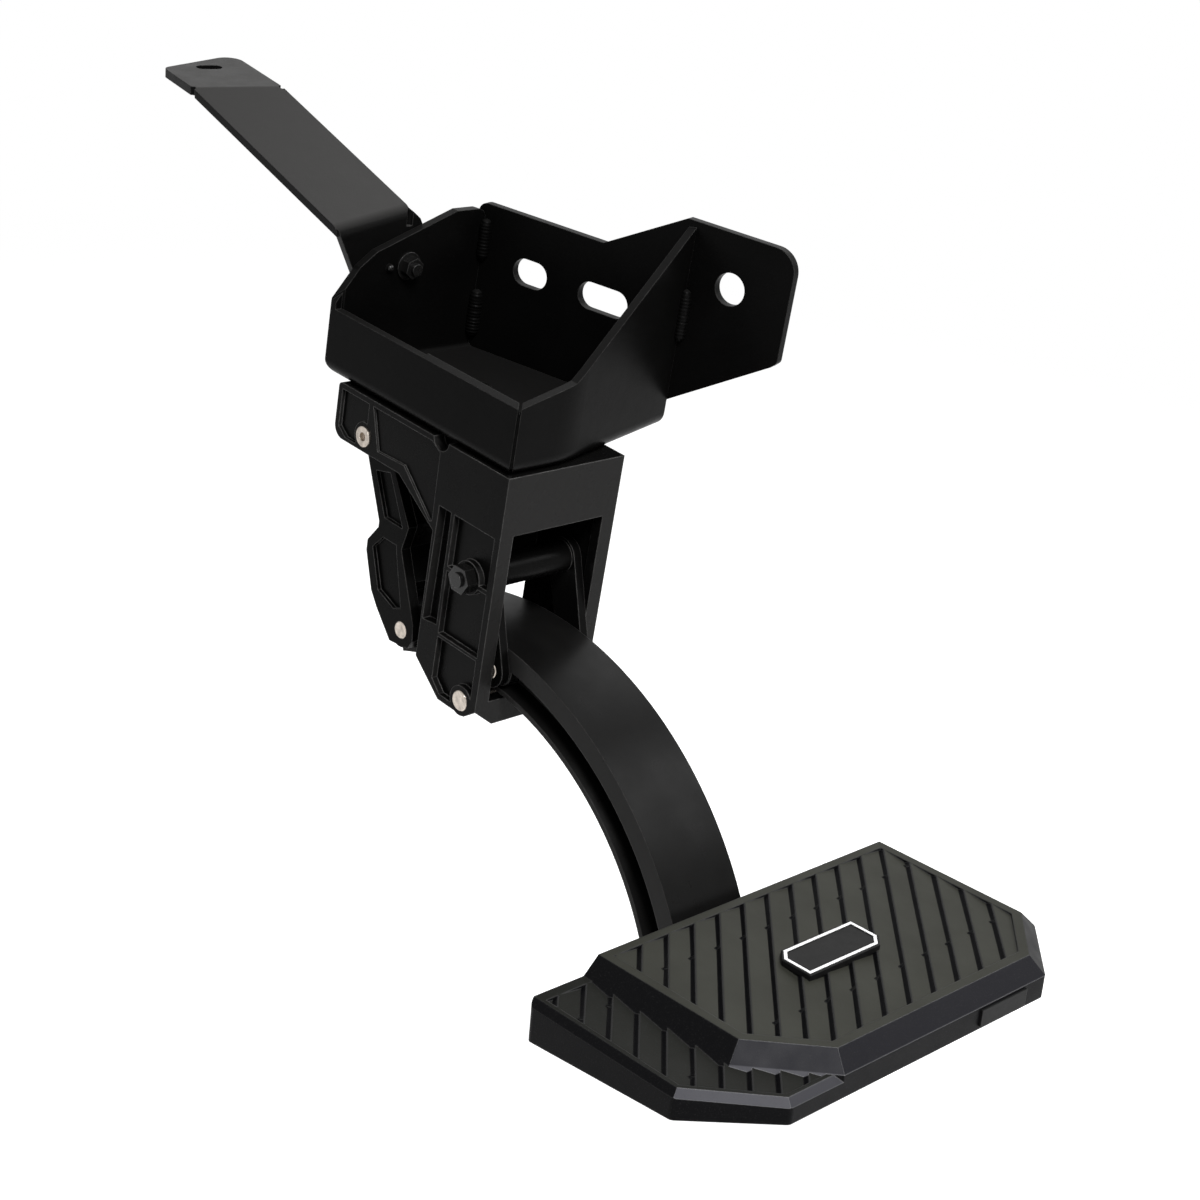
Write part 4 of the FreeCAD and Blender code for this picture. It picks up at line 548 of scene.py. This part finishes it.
WELD_RIPPLE, WELD_SIDES, FEWEST_RINGS, RINGS_A_RIPPLE = 2.4 * MM, 14, 8, 4
RIPPLE_DEEP, SWELL_SPREAD, DRIFT, THINNEST_END = 0.16, (0.97, 1.03), 0.04, 0.05


def weld(name, low, high, radius, seed):
    """A bead of weld metal between two points, with the ripples of its passes."""
    chance = random.Random(seed)
    along = high - low
    side = along.orthogonal().normalized()
    other = along.normalized().cross(side)
    count = max(FEWEST_RINGS, round(along.length / (WELD_RIPPLE / RINGS_A_RIPPLE)))
    angles = [math.tau * i / WELD_SIDES for i in range(WELD_SIDES)]
    rings = []
    for ring in range(count + 1):
        share = ring / count
        phase = (share * along.length / WELD_RIPPLE) % 1.0
        swell = radius * (1 - RIPPLE_DEEP * (2 * phase - 1) ** 2) * chance.uniform(*SWELL_SPREAD)
        swell *= math.sqrt(max(THINNEST_END, 1 - (2 * share - 1) ** 8))
        middle = low + along * share + (side + other) * chance.uniform(-DRIFT, DRIFT) * radius
        rings.append([middle + side * (swell * math.cos(angle)) + other * (swell * math.sin(angle))
                      for angle in angles])
    form = bmesh.new()
    stack(form, rings)
    finished(name, form, bracket_coat, "frame", smooth=True)


REAR_CORNER, WING_END, TRAY_CORNER = (72.4, 188.0), (111.57, 28.06), (-50.0, 0.0)
# Each bead: name, the sheet's corner, the shift from it, heights, radius and random seed
WELDS = (
    ("weld_rear_low", REAR_CORNER, (-0.5, -2.5), (14, 48), 5.2 * MM, 3),
    ("weld_rear_high", REAR_CORNER, (-0.5, -2.5), (70, 99), 4.6 * MM, 4),
    ("weld_wing", WING_END, (-0.8, -1.6), (62, 98), 4.4 * MM, 5),
    ("weld_seam", TRAY_CORNER, (2.7, 2.7), (5, 44), 2.3 * MM, 6),
)


def make_welds():
    """The beads from tray to back plate, and the one up the tray's front left corner."""
    for name, corner, shift, (low, high), radius, seed in WELDS:
        x, y = corner[0] + shift[0], corner[1] + shift[1]
        weld(name, in_drawing(x, y, low), in_drawing(x, y, high), radius, seed)


LINK_PIVOT = (143.7, -27.9)
LINK_WEB = [(-9.5, -92), (-15.5, -92), (-26.9, -120.0), (-21.9, -119.0)]
LINK_WEB_HALF = 31.8


def make_link_web():
    """The lower web between the rear link's cheeks, seen dark beside the housing's leg."""
    form = bmesh.new()
    stack(form, [[in_drawing(x, LINK_PIVOT[0] + y, LINK_PIVOT[1] + z) for y, z in LINK_WEB]
                 for x in (-LINK_WEB_HALF, LINK_WEB_HALF)])
    finished("rear_link_web", form, link_coat, "rear_link")


make_tread_slopes()
make_deck_badge()
make_welds()
make_link_web()


# Camera, floor and light

CAMERA_SPOT = Vector((-1.10502, -0.95776, 0.44440))
CAMERA_TURN, CAMERA_DOWN, CAMERA_ROLL = 47.05, 25.02, 9.74
CAMERA_LENS, CAMERA_FILM = 69.56, 36.0
WHITE = (1, 1, 1, 1)
WORLD_STRENGTH = 0.2
FLOOR_GAP, FLOOR_REACH = 0.25, 30.0
FLOOR_LIFT, FLOOR_FADE = 0.55, (0.9, 2.2)
# Each lamp: name, place from the object's middle, size and watts
LAMPS = (
    ("top_box", (-0.54, -0.95, 1.55), (0.6, 0.6), 38),
    ("right_box", (1.35, -0.8, 1.15), (0.9, 0.9), 12),
    ("front_box", (0.55, -1.9, 0.1), (1.2, 1.2), 11),
    ("back_box", (1.2, 0.6, 1.35), (1.2, 1.0), 8),
)


def make_camera():
    """The photograph's view: a spot, the turns of the camera in degrees and its lens."""
    turn, down, roll = (math.radians(angle) for angle in (CAMERA_TURN, CAMERA_DOWN, CAMERA_ROLL))
    ahead = Vector((math.sin(turn) * math.cos(down), math.cos(turn) * math.cos(down),
                    -math.sin(down)))
    right = Vector((math.cos(turn), -math.sin(turn), 0))
    right.rotate(Quaternion(ahead, -roll))
    up = right.cross(ahead)
    data = bpy.data.cameras.new("camera")
    data.sensor_width, data.lens = CAMERA_FILM, CAMERA_LENS
    camera = bpy.data.objects.new("camera", data)
    scene.collection.objects.link(camera)
    camera.matrix_world = Matrix((
        (right.x, up.x, -ahead.x, CAMERA_SPOT.x),
        (right.y, up.y, -ahead.y, CAMERA_SPOT.y),
        (right.z, up.z, -ahead.z, CAMERA_SPOT.z),
        (0, 0, 0, 1)))
    scene.camera = camera


def seen_directly(nodes):
    """1 for rays from the camera, off gloss and through glass, 0 for light on matt surfaces."""
    path = nodes.new("ShaderNodeLightPath")
    seen = path.outputs["Is Camera Ray"]
    for name in ("Is Glossy Ray", "Is Transmission Ray"):
        larger = nodes.new("ShaderNodeMath")
        larger.operation = "MAXIMUM"
        nodes.id_data.links.new(seen, larger.inputs[0])
        nodes.id_data.links.new(path.outputs[name], larger.inputs[1])
        seen = larger.outputs[0]
    return seen


def make_world():
    """A world that is white where it is seen and dim where it lights the step."""
    world = bpy.data.worlds.new("studio")
    scene.world = world
    world.use_nodes = True
    nodes, links = world.node_tree.nodes, world.node_tree.links
    nodes.clear()
    white, soft = nodes.new("ShaderNodeBackground"), nodes.new("ShaderNodeBackground")
    white.inputs["Color"].default_value = WHITE
    soft.inputs["Color"].default_value = WHITE
    soft.inputs["Strength"].default_value = WORLD_STRENGTH
    mix, output = nodes.new("ShaderNodeMixShader"), nodes.new("ShaderNodeOutputWorld")
    links.new(seen_directly(nodes), mix.inputs[0])
    links.new(soft.outputs[0], mix.inputs[1])
    links.new(white.outputs[0], mix.inputs[2])
    links.new(mix.outputs[0], output.inputs["Surface"])


def make_floor():
    """A pale floor below the step; it keeps the shadow and fades to white away from it."""
    height = cad_box[0].z - FLOOR_GAP
    mesh = bpy.data.meshes.new("floor")
    corners = [(x * FLOOR_REACH, y * FLOOR_REACH, height)
               for x, y in ((-1, -1), (1, -1), (1, 1), (-1, 1))]
    mesh.from_pydata(corners, [], [(0, 1, 2, 3)])
    floor = bpy.data.objects.new("floor", mesh)
    scene.collection.objects.link(floor)
    nodes = Nodes("floor_paint")
    paint = nodes.mix(nodes.spread(nodes.noise(0.8), *EVEN), grey(0.90), grey(0.94))
    nodes.link(paint, nodes.shader.inputs["Base Color"])
    nodes.value("Roughness", 0.9)
    nodes.value("Specular IOR Level", 0.1)
    near_glow, far_glow = nodes.add("ShaderNodeEmission"), nodes.add("ShaderNodeEmission")
    seen = seen_directly(nodes.tree.nodes)
    nodes.link(nodes.math("MULTIPLY", seen, FLOOR_LIFT), near_glow.inputs["Strength"])
    nodes.link(seen, far_glow.inputs["Strength"])
    add = nodes.add("ShaderNodeAddShader")
    nodes.link(nodes.shader.outputs["BSDF"], add.inputs[0])
    nodes.link(near_glow.outputs["Emission"], add.inputs[1])
    away = nodes.add("ShaderNodeVectorMath", operation="DISTANCE")
    nodes.link(nodes.place, away.inputs[0])
    away.inputs[1].default_value = MIDDLE
    fade = nodes.add("ShaderNodeMixShader")
    nodes.link(nodes.spread(away.outputs["Value"], *FLOOR_FADE), fade.inputs[0])
    nodes.link(add.outputs["Shader"], fade.inputs[1])
    nodes.link(far_glow.outputs["Emission"], fade.inputs[2])
    nodes.link(fade.outputs["Shader"], nodes.output.inputs["Surface"])
    mesh.materials.append(nodes.material)


def make_lights():
    """Soft lamps that all point at the object's middle."""
    for name, offset, size, watts in LAMPS:
        data = bpy.data.lights.new(name, "AREA")
        data.shape = "RECTANGLE"
        data.size, data.size_y = size
        data.energy = watts
        light = bpy.data.objects.new(name, data)
        scene.collection.objects.link(light)
        light.location = MIDDLE + Vector(offset)
        light.rotation_mode = "QUATERNION"
        light.rotation_quaternion = (MIDDLE - light.location).to_track_quat("-Z", "Y")


make_camera()
make_world()
make_floor()
make_lights()
scene.view_settings.view_transform = "Standard"
